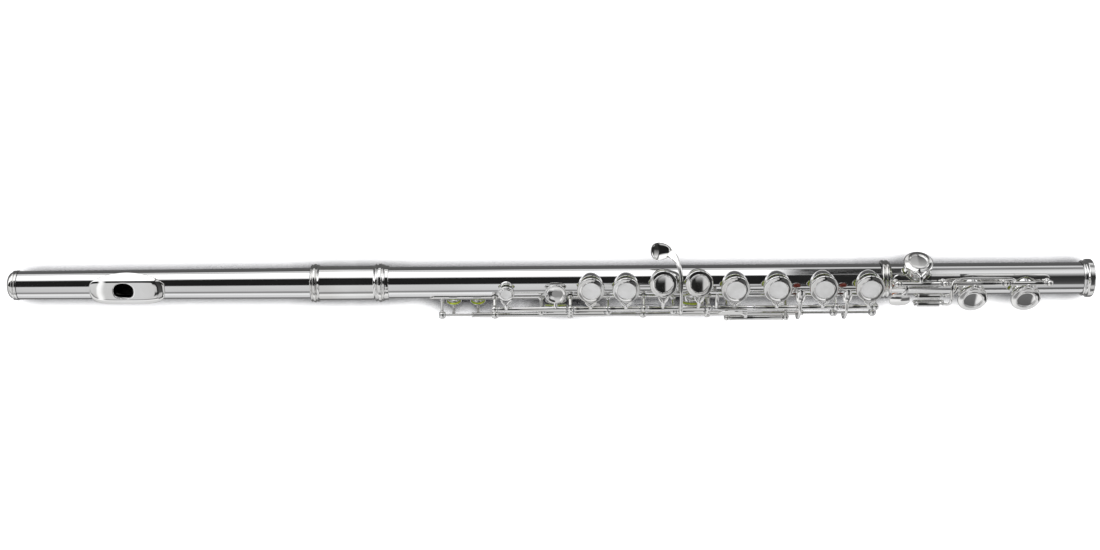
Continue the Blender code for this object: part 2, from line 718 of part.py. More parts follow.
def make_trill_keys(parent):
    """The D sharp trill's shaft runs the whole way, and the D trill's tube turns round it."""
    hinge_radius, hinge_angle = TRILL_AXIS
    trills = (
        ("d_trill", 0.2870, 0.4930, 0.4888, KEY_TUBE_RADIUS, TRILL_TUBE_BORE),
        ("d_sharp_trill", 0.2700, 0.5372, 0.5174, TRILL_SHAFT_RADIUS, 0),
    )
    for hole, start, end, touch_x, radius, bore in trills:
        x, angle, _ = HOLES[hole]
        key = Key(f"{hole}_key", x, TRILL_AXIS, angle, 0, parent)
        key.add_tube(start, end, radius, bore)
        high = key.add_cup(hole, roof_share=0.55)
        key.add_bar([(x, hinge_radius, hinge_angle), (x, high + 0.0012, angle - 4), (x, high - 0.0003, angle)])
        key.add_bar([
            (touch_x, hinge_radius, hinge_angle), (touch_x, 0.0236, 66), (touch_x, 0.0232, 44),
            (touch_x, 0.0214, 24), (touch_x, 0.0202, 16),
        ])
        key.add_disc(touch_x, 0.0192, 14, 0.0030, 0.0052, 0.0011)
        felt = oval_prism(0.0022, 0.0030, 0.0176, 0.0192 - GAP, SMALL_STEPS)
        node(moved(felt, key.to_local @ radial(touch_x, 14)), f"{hole}_felt", key.frame, FELT)
        key.finish()


def make_side_lever(parent):
    lever = Key("side_b_flat_lever", 0.4630, SIDE_AXIS, 45, 0, parent)
    lever.add_tube(0.4466, 0.4796)
    lever.add_bar([(0.4560, *SIDE_AXIS), (0.4560, 0.0232, 54), (0.4530, 0.0226, 47)])
    lever.add_plate(0.4390, 0.4570, 0.0221, 0.0221 + TOUCH_THICKNESS, 40, 52)
    lever.finish()


def make_foot_d_sharp_key(parent):
    hole = HOLES["foot_d_sharp"]
    key = Key("foot_d_sharp_key", hole[0], FOOT_AXIS, hole[1], 0, parent)
    key.add_tube(0.5504, 0.5746)
    key.add_cup("foot_d_sharp")
    cup_arm(key, "foot_d_sharp", FOOT_AXIS)
    key.add_bar([(0.5535, *FOOT_AXIS), (0.5530, 0.0190, 6), (0.5520, 0.0186, 14)])
    touch_radius = 0.0182
    key.add_plate(0.5435, 0.5560, touch_radius, touch_radius + TOUCH_THICKNESS, 10, 42)
    cork = curved_plate(0.5450, 0.5490, touch_radius - 0.0018, touch_radius - GAP, 12, 22, steps=4)
    node(moved(cork, key.to_local), "foot_d_sharp_cork", key.frame, CORK)
    key.finish()


def make_roller(name, place, key):
    """A roller that spins on a pin held in its key's yoke."""
    centre = key.point((ROLLER_START_X + ROLLER_END_X) / 2, *place)
    roller_frame = frame(f"{name}_axis", key.frame, centre)
    half = (ROLLER_END_X - ROLLER_START_X) / 2 - GAP
    round_over = 0.0006
    profile = [
        (half, ROLLER_BORE), (half, ROLLER_RADIUS - round_over / 2), (half - round_over, ROLLER_RADIUS),
        (round_over - half, ROLLER_RADIUS), (-half, ROLLER_RADIUS - round_over / 2), (-half, ROLLER_BORE),
    ]
    node(turned(profile, SMALL_STEPS), name, roller_frame, SILVER)


def make_roller_key(hole, ends, place, arm, parent):
    """A foot key with its arm bent back to a roller. place is the roller's radius and angle."""
    key = Key(f"{hole}_key", HOLES[hole][0], FOOT_AXIS, HOLES[hole][1], -FOOT_OPENING, parent)
    key.add_tube(*ends)
    key.add_cup(hole)
    cup_arm(key, hole, FOOT_AXIS)
    radius, angle = place
    near_x = ROLLER_END_X + 0.0022
    far_x = ROLLER_START_X - 0.0012
    yoke = radius - YOKE_DROP
    key.add_bar([*arm, (near_x, *place)])
    key.add_bar(
        [
            (near_x, *place), (near_x - 0.0010, yoke, angle), (far_x, yoke, angle),
            (far_x, radius - 0.0002, angle),
        ],
        YOKE_RADIUS,
    )
    key.add_bar([(far_x - 0.0002, *place), (near_x + 0.0002, *place)], ROLLER_PIN_RADIUS)
    key.finish()
    make_roller(f"{hole}_roller", place, key)


def make_foot_keys(parent):
    make_foot_d_sharp_key(parent)
    arm = [(0.5840, *FOOT_AXIS), (0.5840, 0.0195, 5), (0.5800, 0.0196, 12)]
    make_roller_key("foot_c_sharp", (0.5794, 0.6121), (0.0190, 16.0), arm, parent)
    arm = [
        (0.6190, *FOOT_AXIS), (0.6190, 0.0206, -15), (0.5800, 0.0208, -16), (0.5800, 0.0232, -6),
        (0.5800, 0.0234, 10), (0.5800, 0.0222, 26),
    ]
    make_roller_key("foot_c", (0.6169, 0.6386), (0.0190, 33.0), arm, parent)


def build():
    for old in list(bpy.data.objects):
        bpy.data.objects.remove(old)
    lying = frame("lying_flute", roll=LIE_ROLL)
    make_head(lying)
    crown_frame = frame("crown_axis", lying)
    make_crown(crown_frame)
    make_stopper(crown_frame)
    make_barrel(lying)
    make_body_tube(lying)
    make_body_ribs(lying)
    make_stack_keys(lying)
    make_g_key(lying)
    make_c_key(lying)
    make_thumb_keys(lying)
    make_g_sharp_key(lying)
    make_trill_keys(lying)
    make_side_lever(lying)
    foot_frame = frame("foot_axis", lying)
    make_foot_tubes(foot_frame)
    make_foot_rib(foot_frame)
    make_foot_keys(foot_frame)


build()
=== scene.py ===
"""A silver-plated concert flute, built as a lesson in cells around its packed mechanical model."""

# %% [markdown]
# # A concert flute
# The flute is three tubes that slide into each other, and a long row of keys that turn on thin
# steel rods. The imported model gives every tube, cup, rod and joint in its place. This lesson lays a
# finely made surface over each of them, made as a flute maker's parts are: drawn tube, turned
# rings, stamped cups, filed arms, felt pads in fish skin.

# %% Load the frame
import json
import math

import bpy
import numpy as np
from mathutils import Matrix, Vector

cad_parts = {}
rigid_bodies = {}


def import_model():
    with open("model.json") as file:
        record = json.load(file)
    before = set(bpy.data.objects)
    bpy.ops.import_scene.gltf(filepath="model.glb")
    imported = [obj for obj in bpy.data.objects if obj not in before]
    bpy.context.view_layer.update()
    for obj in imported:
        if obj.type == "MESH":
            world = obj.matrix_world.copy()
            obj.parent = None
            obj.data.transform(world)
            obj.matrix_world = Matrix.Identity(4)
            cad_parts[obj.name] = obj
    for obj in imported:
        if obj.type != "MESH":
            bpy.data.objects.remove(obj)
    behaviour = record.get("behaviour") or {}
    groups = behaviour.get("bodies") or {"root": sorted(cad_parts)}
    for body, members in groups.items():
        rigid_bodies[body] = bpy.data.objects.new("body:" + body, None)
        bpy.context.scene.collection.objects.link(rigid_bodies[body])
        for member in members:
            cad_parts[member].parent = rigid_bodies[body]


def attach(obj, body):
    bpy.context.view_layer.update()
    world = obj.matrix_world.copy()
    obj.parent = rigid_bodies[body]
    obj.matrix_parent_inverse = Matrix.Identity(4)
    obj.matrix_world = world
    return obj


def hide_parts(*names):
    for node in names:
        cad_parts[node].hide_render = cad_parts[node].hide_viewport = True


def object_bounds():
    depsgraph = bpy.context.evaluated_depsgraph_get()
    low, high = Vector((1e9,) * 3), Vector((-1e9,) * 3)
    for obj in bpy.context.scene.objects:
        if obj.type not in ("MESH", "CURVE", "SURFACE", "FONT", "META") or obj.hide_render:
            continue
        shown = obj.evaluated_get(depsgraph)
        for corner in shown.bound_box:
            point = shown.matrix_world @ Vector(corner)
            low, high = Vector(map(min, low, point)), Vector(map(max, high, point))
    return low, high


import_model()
CAD_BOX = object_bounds()

# %% [markdown]
# ## Places
# The flute lies rolled a little on its axis. Everything is worked out in a playing frame first,
# whose +Z is the way the tone holes face and whose angles are counted from +Z towards -Y, and is
# then rolled. All lengths are in metres and all angles in degrees.

# %% Sizes of the tubes, holes and axes
LIE_ROLL = 17.0
TUBE_RADIUS, TUBE_WALL = 0.0099, 0.00045
RIM_HEIGHT, CHIMNEY_WALL = 0.0126, 0.0006
MAIN, TRILL, THUMB = (0.0186, 48.0), (0.0206, 82.0), (0.0192, 59.5)
SIDE, FOOT = (0.0233, 63.0), (0.0175, -7.0)
BODY_HOLES = {
    "d_sharp_trill": (0.2757, 104.0, 0.0032), "d_trill": (0.2908, 104.0, 0.0032),
    "c_sharp": (0.3088, 7.0, 0.0034), "thumb": (0.3393, 88.0, 0.0058),
    "b_flat": (0.3607, 0.0, 0.0068), "a": (0.3824, 0.0, 0.0068),
    "g_upper": (0.4051, -15.0, 0.0068), "g_lower": (0.4270, -15.0, 0.0068),
    "g_sharp": (0.4240, 88.0, 0.0058), "f_sharp": (0.4493, 0.0, 0.0072),
    "f": (0.4752, 0.0, 0.0072), "e": (0.5034, 0.0, 0.0072), "d": (0.5316, 0.0, 0.0072),
}
FOOT_HOLES = {
    "foot_d_sharp": (0.5622, -60.0, 0.0074), "foot_c_sharp": (0.5951, 33.0, 0.0074),
    "foot_c": (0.6278, 33.0, 0.0074),
}
HOLES = BODY_HOLES | FOOT_HOLES
print("body holes", len(BODY_HOLES), "foot holes", len(FOOT_HOLES))

# %% [markdown]
# ## Surfaces
# A surface here is a grid of points: rows along a profile or a path, columns round it. A grid is
# closed round its columns, and either closes its rows into a ring too, or ends each end in a cap.
# Working on whole arrays keeps it quick, and the same few functions make every piece.


# %% From the playing frame to the lying flute
def turn(points, degrees, centre=(0.0, 0.0)):
    """Turns points about a line along X through (y, z). y' = y cos - z sin, z' = y sin + z cos."""
    c, s = math.cos(math.radians(degrees)), math.sin(math.radians(degrees))
    y, z = points[..., 1] - centre[0], points[..., 2] - centre[1]
    return np.stack([points[..., 0], centre[0] + y * c - z * s, centre[1] + y * s + z * c], -1)


def polar(x, radius, angle):
    """Points at a place along the tube, a radius and an angle: y = -r sin(angle), z = r cos(angle)."""
    x, radius, angle = np.broadcast_arrays(x, radius, np.radians(angle))
    return np.stack([x, -radius * np.sin(angle), radius * np.cos(angle)], -1).astype(float)


def seat(points, x, angle):
    """Puts upright points at a place along the tube, turned to an angle round it."""
    return turn(points, angle) + np.array([x, 0.0, 0.0])


def hinge_centre(axis):
    """An axis's (y, z) in the playing frame."""
    return tuple(polar(0.0, *axis)[1:])


# %% Grids to meshes
def grid(points, ring=False, slots=None):
    """Quads between neighbours of a (rows, columns, 3) grid.

    With ring its rows close too, and without it each end gets a cap of triangles.
    """
    rows, columns = points.shape[:2]
    index = np.arange(rows * columns).reshape(rows, columns)
    below = np.roll(index, -1, 0) if ring else index[1:]
    here = index if ring else index[:-1]
    quads = np.stack([here, np.roll(here, -1, 1), np.roll(below, -1, 1), below], -1).reshape(-1, 4)
    flat = points.reshape(-1, 3)
    row_slots = np.zeros(rows, int) if slots is None else np.asarray(slots)
    quad_slots = np.repeat(row_slots[: len(here)], columns)
    tris = np.zeros((0, 3), int)
    tri_slots = np.zeros(0, int)
    if not ring:
        first, last = index[0], index[-1]
        poles = np.array([rows * columns, rows * columns + 1])
        flat = np.concatenate([flat, points[:1].mean(1), points[-1:].mean(1)])
        start = np.stack([np.roll(first, -1), first, np.full(columns, poles[0])], -1)
        end = np.stack([last, np.roll(last, -1), np.full(columns, poles[1])], -1)
        tris = np.concatenate([start, end])
        tri_slots = np.repeat([row_slots[0], row_slots[-1]], columns)
    a, b, c = (flat[quads[:, i]] for i in range(3))
    volume = (np.cross(a, b) * c).sum() + (np.cross(a, c) * flat[quads[:, 3]]).sum()
    if len(tris):
        volume += (np.cross(flat[tris[:, 0]], flat[tris[:, 1]]) * flat[tris[:, 2]]).sum()
    if volume < 0:
        quads, tris = quads[:, ::-1], tris[:, ::-1]
    return flat, quads, tris, quad_slots, tri_slots


def placed(surface, place):
    """The same surface with its points moved by a function."""
    return (place(surface[0]), *surface[1:])


def joined(name, surfaces):
    """One mesh of closed surfaces, rolled to the lying flute. Each face keeps its finish's number."""
    points, faces, slots, start = [], [], [], 0
    for flat, quads, tris, quad_slots, tri_slots in surfaces:
        points.append(flat)
        faces += (quads + start).tolist() + (tris + start).tolist()
        slots.append(np.concatenate([quad_slots, tri_slots]))
        start += len(flat)
    mesh = bpy.data.meshes.new(name)
    mesh.from_pydata(turn(np.concatenate(points), LIE_ROLL).tolist(), [], faces)
    mesh.polygons.foreach_set("material_index", np.concatenate(slots).astype(np.int32))
    return mesh


def make(name, surfaces, body, finishes, replaces=(), sharp=40.0):
    """One object of closed surfaces, shaded smooth and riding on its body."""
    mesh = joined(name, surfaces)
    for finish in finishes:
        mesh.materials.append(finish)
    mesh.shade_smooth()
    mesh.set_sharp_from_angle(angle=math.radians(sharp))
    mesh.update()
    piece = bpy.data.objects.new(name, mesh)
    bpy.context.scene.collection.objects.link(piece)
    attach(piece, body)
    if replaces:
        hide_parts(*replaces)
    return piece


# %% [markdown]
# ## Profiles
# Turned and stamped metal has no razor edges: each corner is broken with a file or rolled over, and
# that small round is what catches the light. So corners of profiles are cut back and rounded with
# a short curve before they are spun.


# %% Soft corners, lathes, bars and plates
def soften(corners, cut=0.0002, steps=4):
    """Rounds a polyline's inner corners.

    Corner B becomes (1-t)^2 A + 2t(1-t) B + t^2 C, with A and C a cut away from B.
    """
    corners = np.asarray(corners, float)
    out = [corners[:1]]
    share = np.linspace(0, 1, steps + 1)[:, None]
    for before, corner, after in zip(corners, corners[1:], corners[2:]):
        back, ahead = before - corner, after - corner
        back_length, ahead_length = np.linalg.norm(back), np.linalg.norm(ahead)
        a = corner + back * min(cut / back_length, 0.45)
        c = corner + ahead * min(cut / ahead_length, 0.45)
        out.append((1 - share) ** 2 * a + 2 * share * (1 - share) * corner + share**2 * c)
    return np.concatenate([*out, corners[-1:]])


def round_ring(columns):
    """Cosines and sines of evenly spaced angles."""
    angle = np.linspace(0, 2 * np.pi, columns, endpoint=False)
    return np.cos(angle), np.sin(angle)


def lathe_along(profile, axis=(0.0, 0.0), columns=96, ring=False, slots=None):
    """Spins (x, radius) about an axis along the flute: y = r sin(angle), z = r cos(angle) from the axis."""
    profile = np.asarray(profile, float)
    c, s = round_ring(columns)
    y, z = hinge_centre(axis) if axis[0] else (0.0, 0.0)
    x = np.repeat(profile[:, :1], columns, 1)
    points = np.stack([x, y + profile[:, 1:] * s, z + profile[:, 1:] * c], -1)
    return grid(points, ring, slots)


def lathe_up(profile, columns=64, slots=None, stretch=(1.0, 1.0)):
    """Spins (height, radius) about +Z. stretch makes it oval."""
    profile = np.asarray(profile, float)
    c, s = round_ring(columns)
    h = np.repeat(profile[:, :1], columns, 1)
    points = np.stack([profile[:, 1:] * c * stretch[0], profile[:, 1:] * s * stretch[1], h], -1)
    return grid(points, slots=slots)


def smooth_path(knots, rows):
    """A Catmull-Rom curve through knots, sampled evenly in its parameter."""
    knots = np.asarray(knots, float)
    padded_knots = np.concatenate([2 * knots[:1] - knots[1:2], knots, 2 * knots[-1:] - knots[-2:-1]])
    t = np.linspace(0, len(knots) - 1, rows)
    i = np.minimum(t.astype(int), len(knots) - 2)
    f = (t - i)[:, None]
    p0, p1, p2, p3 = (padded_knots[i + k] for k in range(4))
    return 0.5 * (
        2 * p1 + (p2 - p0) * f + (2 * p0 - 5 * p1 + 4 * p2 - p3) * f**2 + (3 * p1 - p0 - 3 * p2 + p3) * f**3
    )


def bar(knots, widths, thicknesses, up=(0.0, 0.0, 1.0), rows=48, columns=16):
    """Sweeps an oval along a path, and rounds both ends. Its width lies across the path and up."""
    knots = np.asarray(knots, float)
    path = smooth_path(knots, rows)
    length = np.concatenate([[0], np.cumsum(np.linalg.norm(np.diff(path, axis=0), axis=1))])
    end = min(max(np.max(thicknesses), 0.0004), length[-1] * 0.3)
    cap = end * (1 - np.cos(np.linspace(0.12, np.pi / 2, 6)))
    where = np.concatenate([cap, np.linspace(end, length[-1] - end, rows)[1:-1], length[-1] - cap[::-1]])
    centre = np.stack([np.interp(where, length, path[:, k]) for k in range(3)], -1)
    tangent = np.gradient(centre, where, axis=0)
    tangent /= np.linalg.norm(tangent, axis=1, keepdims=True)
    side = np.cross(np.asarray(up, float), tangent)
    side /= np.linalg.norm(side, axis=1, keepdims=True)
    rise = np.cross(tangent, side)
    from_end = np.minimum(np.minimum(where, length[-1] - where) / end, 1.0)
    rounding = np.sqrt(1 - (1 - from_end) ** 2)
    share = where / length[-1]
    wide = np.interp(share, np.linspace(0, 1, len(np.atleast_1d(widths))), np.atleast_1d(widths))
    thick = np.interp(share, np.linspace(0, 1, len(np.atleast_1d(thicknesses))), np.atleast_1d(thicknesses))
    c, s = round_ring(columns)
    points = (
        centre[:, None]
        + side[:, None] * (wide * rounding)[:, None, None] * c[None, :, None]
        + rise[:, None] * (thick * rounding)[:, None, None] * s[None, :, None]
    )
    return grid(points)


def plate(outline, thickness, dish=0.0, rim=0.0, rows=10):
    """A thin plate with a rolled edge on a closed outline of (a, b).

    Its top is h = dish (s^2 - 1) + rim near s = 1, where s runs from the middle to the outline.
    """
    outline = np.asarray(outline, float)
    centre = outline.mean(0)
    half = thickness / 2
    size = np.abs(outline - centre).max()
    edge = half / size
    s_top = np.concatenate([np.linspace(0.04, 1 - edge - 0.10, rows), np.linspace(1 - edge - 0.08, 1 - edge, 4)])
    bead = rim * np.exp(-(((s_top - (1 - edge - 0.03)) / 0.035) ** 2))
    top = np.stack([s_top, half + dish * (s_top**2 - 1) + bead], -1)
    angle = np.linspace(np.pi / 2, -np.pi / 2, 9)[1:-1]
    side = np.stack([1 - edge + edge * np.cos(angle), half * np.sin(angle)], -1)
    s_low = s_top[::-1]
    low = np.stack([s_low, -half + dish * (s_low**2 - 1)], -1)
    profile = np.concatenate([top, side, low])
    flat = centre + profile[:, None, :1] * (outline - centre)
    height = np.repeat(profile[:, 1:2], len(outline), 1)[..., None]
    return grid(np.concatenate([flat, height], -1))


def oval(half_length, half_width, columns=64, power=2.0, taper=0.0, centre=(0.0, 0.0)):
    """A rounded outline: a = L |c|^(2/n) with c's sign, b = W |s|^(2/n) (1 + taper a/L) with s's sign."""
    c, s = round_ring(columns)
    a = np.sign(c) * np.abs(c) ** (2 / power)
    b = np.sign(s) * np.abs(s) ** (2 / power) * (1 + taper * a)
    return np.stack([centre[0] + half_length * a, centre[1] + half_width * b], -1)


print("surface helpers ready")

# %% [markdown]
# ## Finishes
# Nearly all of a flute is one metal: nickel silver, plated with silver and buffed to a mirror. Its
# colour is what it reflects, so what makes it real is small: a faint warm bloom of tarnish, wipe
# marks that lie along the tubes, and a bore and cup centres that are not buffed as bright. The bore
# is also darkened with painted shade.


# %% Colour and node helpers
def colour(hex_code):
    """An sRGB hex code as linear light: ((c + 0.055) / 1.055) ^ 2.4, or c / 12.92 near black."""
    c = np.array([int(hex_code[i : i + 2], 16) for i in (1, 3, 5)]) / 255
    linear = np.where(c <= 0.04045, c / 12.92, ((c + 0.055) / 1.055) ** 2.4)
    return (*linear.tolist(), 1.0)


def add(tree, kind, settings=None, inputs=None, **links):
    """Adds a node. settings are its attributes, inputs its sockets' values, and links its sockets' sources."""
    item = tree.nodes.new(kind)
    for key, value in (settings or {}).items():
        setattr(item, key, value)
    for key, value in (inputs or {}).items():
        item.inputs[key].default_value = value
    for key, source in links.items():
        name = int(key[1:]) if key[1:].isdigit() else key.replace("_", " ")
        tree.links.new(source, item.inputs[name])
    return item


def ramp_stops(item, stops):
    """Sets a colour ramp's stops, each a place and a colour."""
    ramp = item.color_ramp
    while len(ramp.elements) < len(stops):
        ramp.elements.new(0.5)
    for element, (place, value) in zip(ramp.elements, stops):
        element.position = place
        element.color = value
    return item


def finish(name, metallic=0.0, roughness=0.5, **inputs):
    """A new material, its node tree, its shader and its Object coordinates."""
    material = bpy.data.materials.new(name)
    material.use_nodes = True
    tree = material.node_tree
    shader = tree.nodes["Principled BSDF"]
    shader.inputs["Metallic"].default_value = metallic
    shader.inputs["Roughness"].default_value = roughness
    for key, value in inputs.items():
        shader.inputs[key.replace("_", " ")].default_value = value
    return material, tree, shader, add(tree, "ShaderNodeTexCoord").outputs["Object"]


def mottled(tree, shader, where, light, dark, patch, rough, stretch=(1, 1, 1), grain=None, bump=0.0):
    """Colour between two tones in patches, roughness between two values in finer marks, and a bump.

    patch and grain are sizes in metres. A noise texture has about one feature each 1 / scale.
    """
    spread = add(tree, "ShaderNodeMapping", inputs={"Scale": stretch}, Vector=where).outputs[0]
    cloud = add(tree, "ShaderNodeTexNoise", inputs={"Scale": 1 / patch, "Detail": 4.0}, Vector=spread)
    tone = ramp_stops(
        add(tree, "ShaderNodeValToRGB", Fac=cloud.outputs["Fac"]),
        [(0.35, colour(dark)), (0.65, colour(light))],
    )
    tree.links.new(tone.outputs["Color"], shader.inputs["Base Color"])
    marks = add(
        tree, "ShaderNodeTexNoise", inputs={"Scale": 1 / (grain or patch / 6), "Detail": 5.0}, Vector=spread
    )
    level = add(
        tree, "ShaderNodeMapRange",
        inputs={"From Min": 0.35, "From Max": 0.7, "To Min": rough[0], "To Max": rough[1]},
        Value=marks.outputs["Fac"],
    )
    tree.links.new(level.outputs["Result"], shader.inputs["Roughness"])
    if bump:
        relief = add(
            tree, "ShaderNodeBump", inputs={"Strength": 0.5, "Distance": bump}, Height=marks.outputs["Fac"]
        )
        tree.links.new(relief.outputs["Normal"], shader.inputs["Normal"])
    return marks


# %% The metals
# Buffed silver plate: a cold, almost colourless mirror, with bloom in patches about 25 mm across.
silver, tree, shader, where = finish("buffed_silver_plate", metallic=1.0)
mottled(tree, shader, where, "#F1F1F0", "#E4E3E0", 0.025, (0.035, 0.075), grain=0.004)

# The long tubes are buffed and wiped lengthwise, which draws their wipe marks out along X.
tube_silver, tree, shader, where = finish("wiped_silver_tube", metallic=1.0)
mottled(tree, shader, where, "#F0F0F0", "#E3E3E2", 0.012, (0.04, 0.085), stretch=(0.12, 1, 1), grain=0.0015)

# Cup centres are left satin from the stamping die, so they glow instead of mirroring.
# Frosting scatters light, so part of it is spread evenly as a white powder would.
satin_silver, tree, shader, where = finish("satin_silver_cup_centre", metallic=0.5)
mottled(tree, shader, where, "#E6E6E6", "#D8D8D7", 0.006, (0.38, 0.44), grain=0.0015)

# The bore is drawn, not buffed, so it is rougher, and its colour is darkened as painted shade so that the inside of
# the tube looks dark.
shaded_bore_silver, tree, shader, where = finish("drawn_bore_painted_shade", metallic=1.0)
mottled(tree, shader, where, "#8E8C86", "#5F5D58", 0.010, (0.25, 0.45), stretch=(0.3, 1, 1), grain=0.002)

# Rods and screws are drawn steel, a little darker than silver.
steel, tree, shader, where = finish("drawn_rod_steel", metallic=1.0)
mottled(tree, shader, where, "#C9CACC", "#A9AAAD", 0.006, (0.10, 0.20), stretch=(0.1, 1, 1), grain=0.0008)

# Needle springs are tempered blue, lighter and darker in patches.
blued, tree, shader, where = finish("blued_spring_steel", metallic=1.0)
mottled(tree, shader, where, "#7E8694", "#4A5468", 0.004, (0.18, 0.28), grain=0.0008)
print("metals ready")

# %% [markdown]
# ## Pads, cork and felt
# A flute pad is a disc of woven felt in two skins of fish bladder, stretched over it: thin, a little
# shiny, yellow-green on this one, with a fine net of creases. The trill touches lie on bumpers of red felt, and cork
# quiets the levers.

# %% The soft finishes
# Fish skin: translucent and creased. A Voronoi net of cells about 1.2 mm wide makes the creases.
skin, tree, shader, where = finish(
    "fish_skin_pad", roughness=0.35, Subsurface_Weight=0.15, Subsurface_Scale=0.001, Coat_Weight=0.3,
    Coat_Roughness=0.25, IOR=1.5,
)
mottled(tree, shader, where, "#C3D44A", "#93A62B", 0.004, (0.32, 0.5), grain=0.001)
cells = add(tree, "ShaderNodeTexVoronoi", {"feature": "DISTANCE_TO_EDGE"}, {"Scale": 1 / 0.0012}, Vector=where)
crease = add(tree, "ShaderNodeBump", None, {"Strength": 0.25, "Distance": 0.00004}, Height=cells.outputs["Distance"])
tree.links.new(crease.outputs["Normal"], shader.inputs["Normal"])

# Cork: tan, with the dark pores of bark, each well under a millimetre.
cork, tree, shader, where = finish("cut_cork", roughness=0.85, IOR=1.4)
pores = add(tree, "ShaderNodeTexVoronoi", None, {"Scale": 1 / 0.0009, "Randomness": 1.0}, Vector=where)
tone = ramp_stops(
    add(tree, "ShaderNodeValToRGB", Fac=pores.outputs["Distance"]),
    [(0.10, colour("#5A3420")), (0.38, colour("#A4673F")), (0.9, colour("#B98055"))],
)
tree.links.new(tone.outputs["Color"], shader.inputs["Base Color"])
pit = add(tree, "ShaderNodeBump", None, {"Strength": 0.6, "Distance": 0.00012}, Height=pores.outputs["Distance"])
tree.links.new(pit.outputs["Normal"], shader.inputs["Normal"])

# Red felt: matted wool, with fibres about 0.15 mm apart.
felt, tree, shader, where = finish("red_wool_felt", roughness=0.95, Sheen_Weight=0.5, Sheen_Roughness=0.5, IOR=1.45)
mottled(tree, shader, where, "#A0483A", "#6E2A20", 0.0012, (0.85, 1.0), grain=0.00015, bump=0.00008)
print("soft finishes ready")

# %% [markdown]
# ## The head joint
# The head is a tube that narrows towards the crown. A lip plate stands on a short chimney, the riser, and the player
# blows across its far edge. The plate and riser are made as one closed skin: out across the top
# from the hole, round the rim, back underneath to the riser, down its outside, and up inside the hole.

# %% Crown and head tube
HEAD_START, TAPER_END, HEAD_END = 0.0071, 0.185, 0.2297
CROWN_RADIUS, TENON_RADIUS = 0.0089, 0.0097


def head_radius(x):
    """The head's outer radius: it grows in a straight line from the crown to the tenon."""
    return CROWN_RADIUS + np.clip((x - 0.0068) / (TAPER_END - 0.0068), 0, 1) * (TENON_RADIUS - CROWN_RADIUS)


dome_turn = np.radians(np.linspace(0, 88, 12))
dome = np.stack([0.0036 * (1 - np.cos(dome_turn)), 0.0030 + 0.0054 * np.sin(dome_turn)], -1)
crown_profile = np.concatenate([dome, soften([
    (0.0036, 0.0084), (0.0037, 0.0092), (0.0048, 0.0092), (0.0049, 0.0087), (0.0053, 0.0087),
    (0.0054, 0.0093), (0.0068, 0.0093), (0.0068, 0.0080), (0.0108, 0.0080), (0.0108, 0.0018),
    (0.0040, 0.0018),
], 0.00025)[1:]])
make("crown_turned", [lathe_along(crown_profile, columns=128)], "crown", [silver], ["crown"])


def wall_ring(xs, radii, wall):
    """A pipe's closed outline: out along its outside, and back along its bore."""
    xs, radii = np.asarray(xs, float), np.asarray(radii, float)
    outer, inner = np.stack([xs, radii], -1), np.stack([xs, radii - wall], -1)[::-1]
    return np.concatenate([outer, inner])


def pierced(surface, cutters):
    """Cuts closed surfaces out of another with an exact Boolean, and gives the result back as a mesh."""
    def temporary(parts, label):
        """An object that is there only while the Boolean is worked out."""
        item = bpy.data.objects.new(label, joined(label, parts))
        bpy.context.scene.collection.objects.link(item)
        return item

    body, tool = temporary([surface], "pipe"), temporary(cutters, "drills")
    for finish_used in (tube_silver, shaded_bore_silver):
        body.data.materials.append(finish_used)
        tool.data.materials.append(finish_used)
    step = body.modifiers.new("drill", "BOOLEAN")
    step.operation, step.solver, step.object = "DIFFERENCE", "EXACT", tool
    graph = bpy.context.evaluated_depsgraph_get()
    mesh = bpy.data.meshes.new_from_object(body.evaluated_get(graph))
    for item in (body, tool):
        bpy.data.objects.remove(item)
    return mesh


def pipe(name, xs, radii, wall, cutters, body, replaces):
    """A tube with its bore darkened by painted shade and its holes cut."""
    rows = wall_ring(xs, radii, wall)
    slots = np.repeat([0, 1], len(xs))
    mesh = pierced(lathe_along(rows, columns=144, ring=True, slots=slots), cutters)
    mesh.name = name
    mesh.shade_smooth()
    mesh.set_sharp_from_angle(angle=math.radians(40))
    piece = bpy.data.objects.new(name, mesh)
    bpy.context.scene.collection.objects.link(piece)
    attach(piece, body)
    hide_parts(*replaces)
    return piece


MOUTH_X, MOUTH_ANGLE = 0.0738, 3.0
MOUTH_HALF = (0.0062, 0.00525)
head_x = np.array([HEAD_START, 0.03, 0.055, 0.0655, 0.082, 0.09, 0.12, 0.15, TAPER_END, 0.21, HEAD_END])
mouth_drill = placed(
    lathe_up([(0.004, 1.0), (0.016, 1.0)], 48, stretch=(MOUTH_HALF[0] + 0.0006, MOUTH_HALF[1] + 0.0006)),
    lambda p: seat(p, MOUTH_X, MOUTH_ANGLE),
)
pipe("head_drawn_tube", head_x, head_radius(head_x), TUBE_WALL, [mouth_drill], "head", ["head_tube"])
print("head tube", round(HEAD_END - HEAD_START, 4), "m long")

# %% Lip plate and riser
LIP_X, LIP_HALF = 0.0755, 0.0232
FAR_SPAN, NEAR_SPAN, LIP_MIDDLE = 41.0, 60.0, 4.0 - LIE_ROLL


def lip_surface(x, angle):
    """The plate's outer radius: the least of two slanted flats, d / cos(angle - slope), and a round, softly blended.

    The two flats meet in a ridge before the hole. Both ends curl down to the tube as (1 - u^4)^0.75.
    """
    lying = angle + LIE_ROLL
    far_flat = 0.0125 / np.cos(np.radians(np.clip(lying + 33, -60, 60)))
    near_flat = 0.0124 / np.cos(np.radians(np.clip(lying - 19, -60, 60)))
    sharp = 4200.0
    crest = -np.log(np.exp(-sharp * far_flat) + np.exp(-sharp * near_flat) + np.exp(-sharp * 0.0136)) / sharp
    low = head_radius(x) + 0.0009
    u = np.clip(np.abs(x - LIP_X) / LIP_HALF, 0, 1)
    return low + (crest - low) * (1 - u**4) ** 0.75


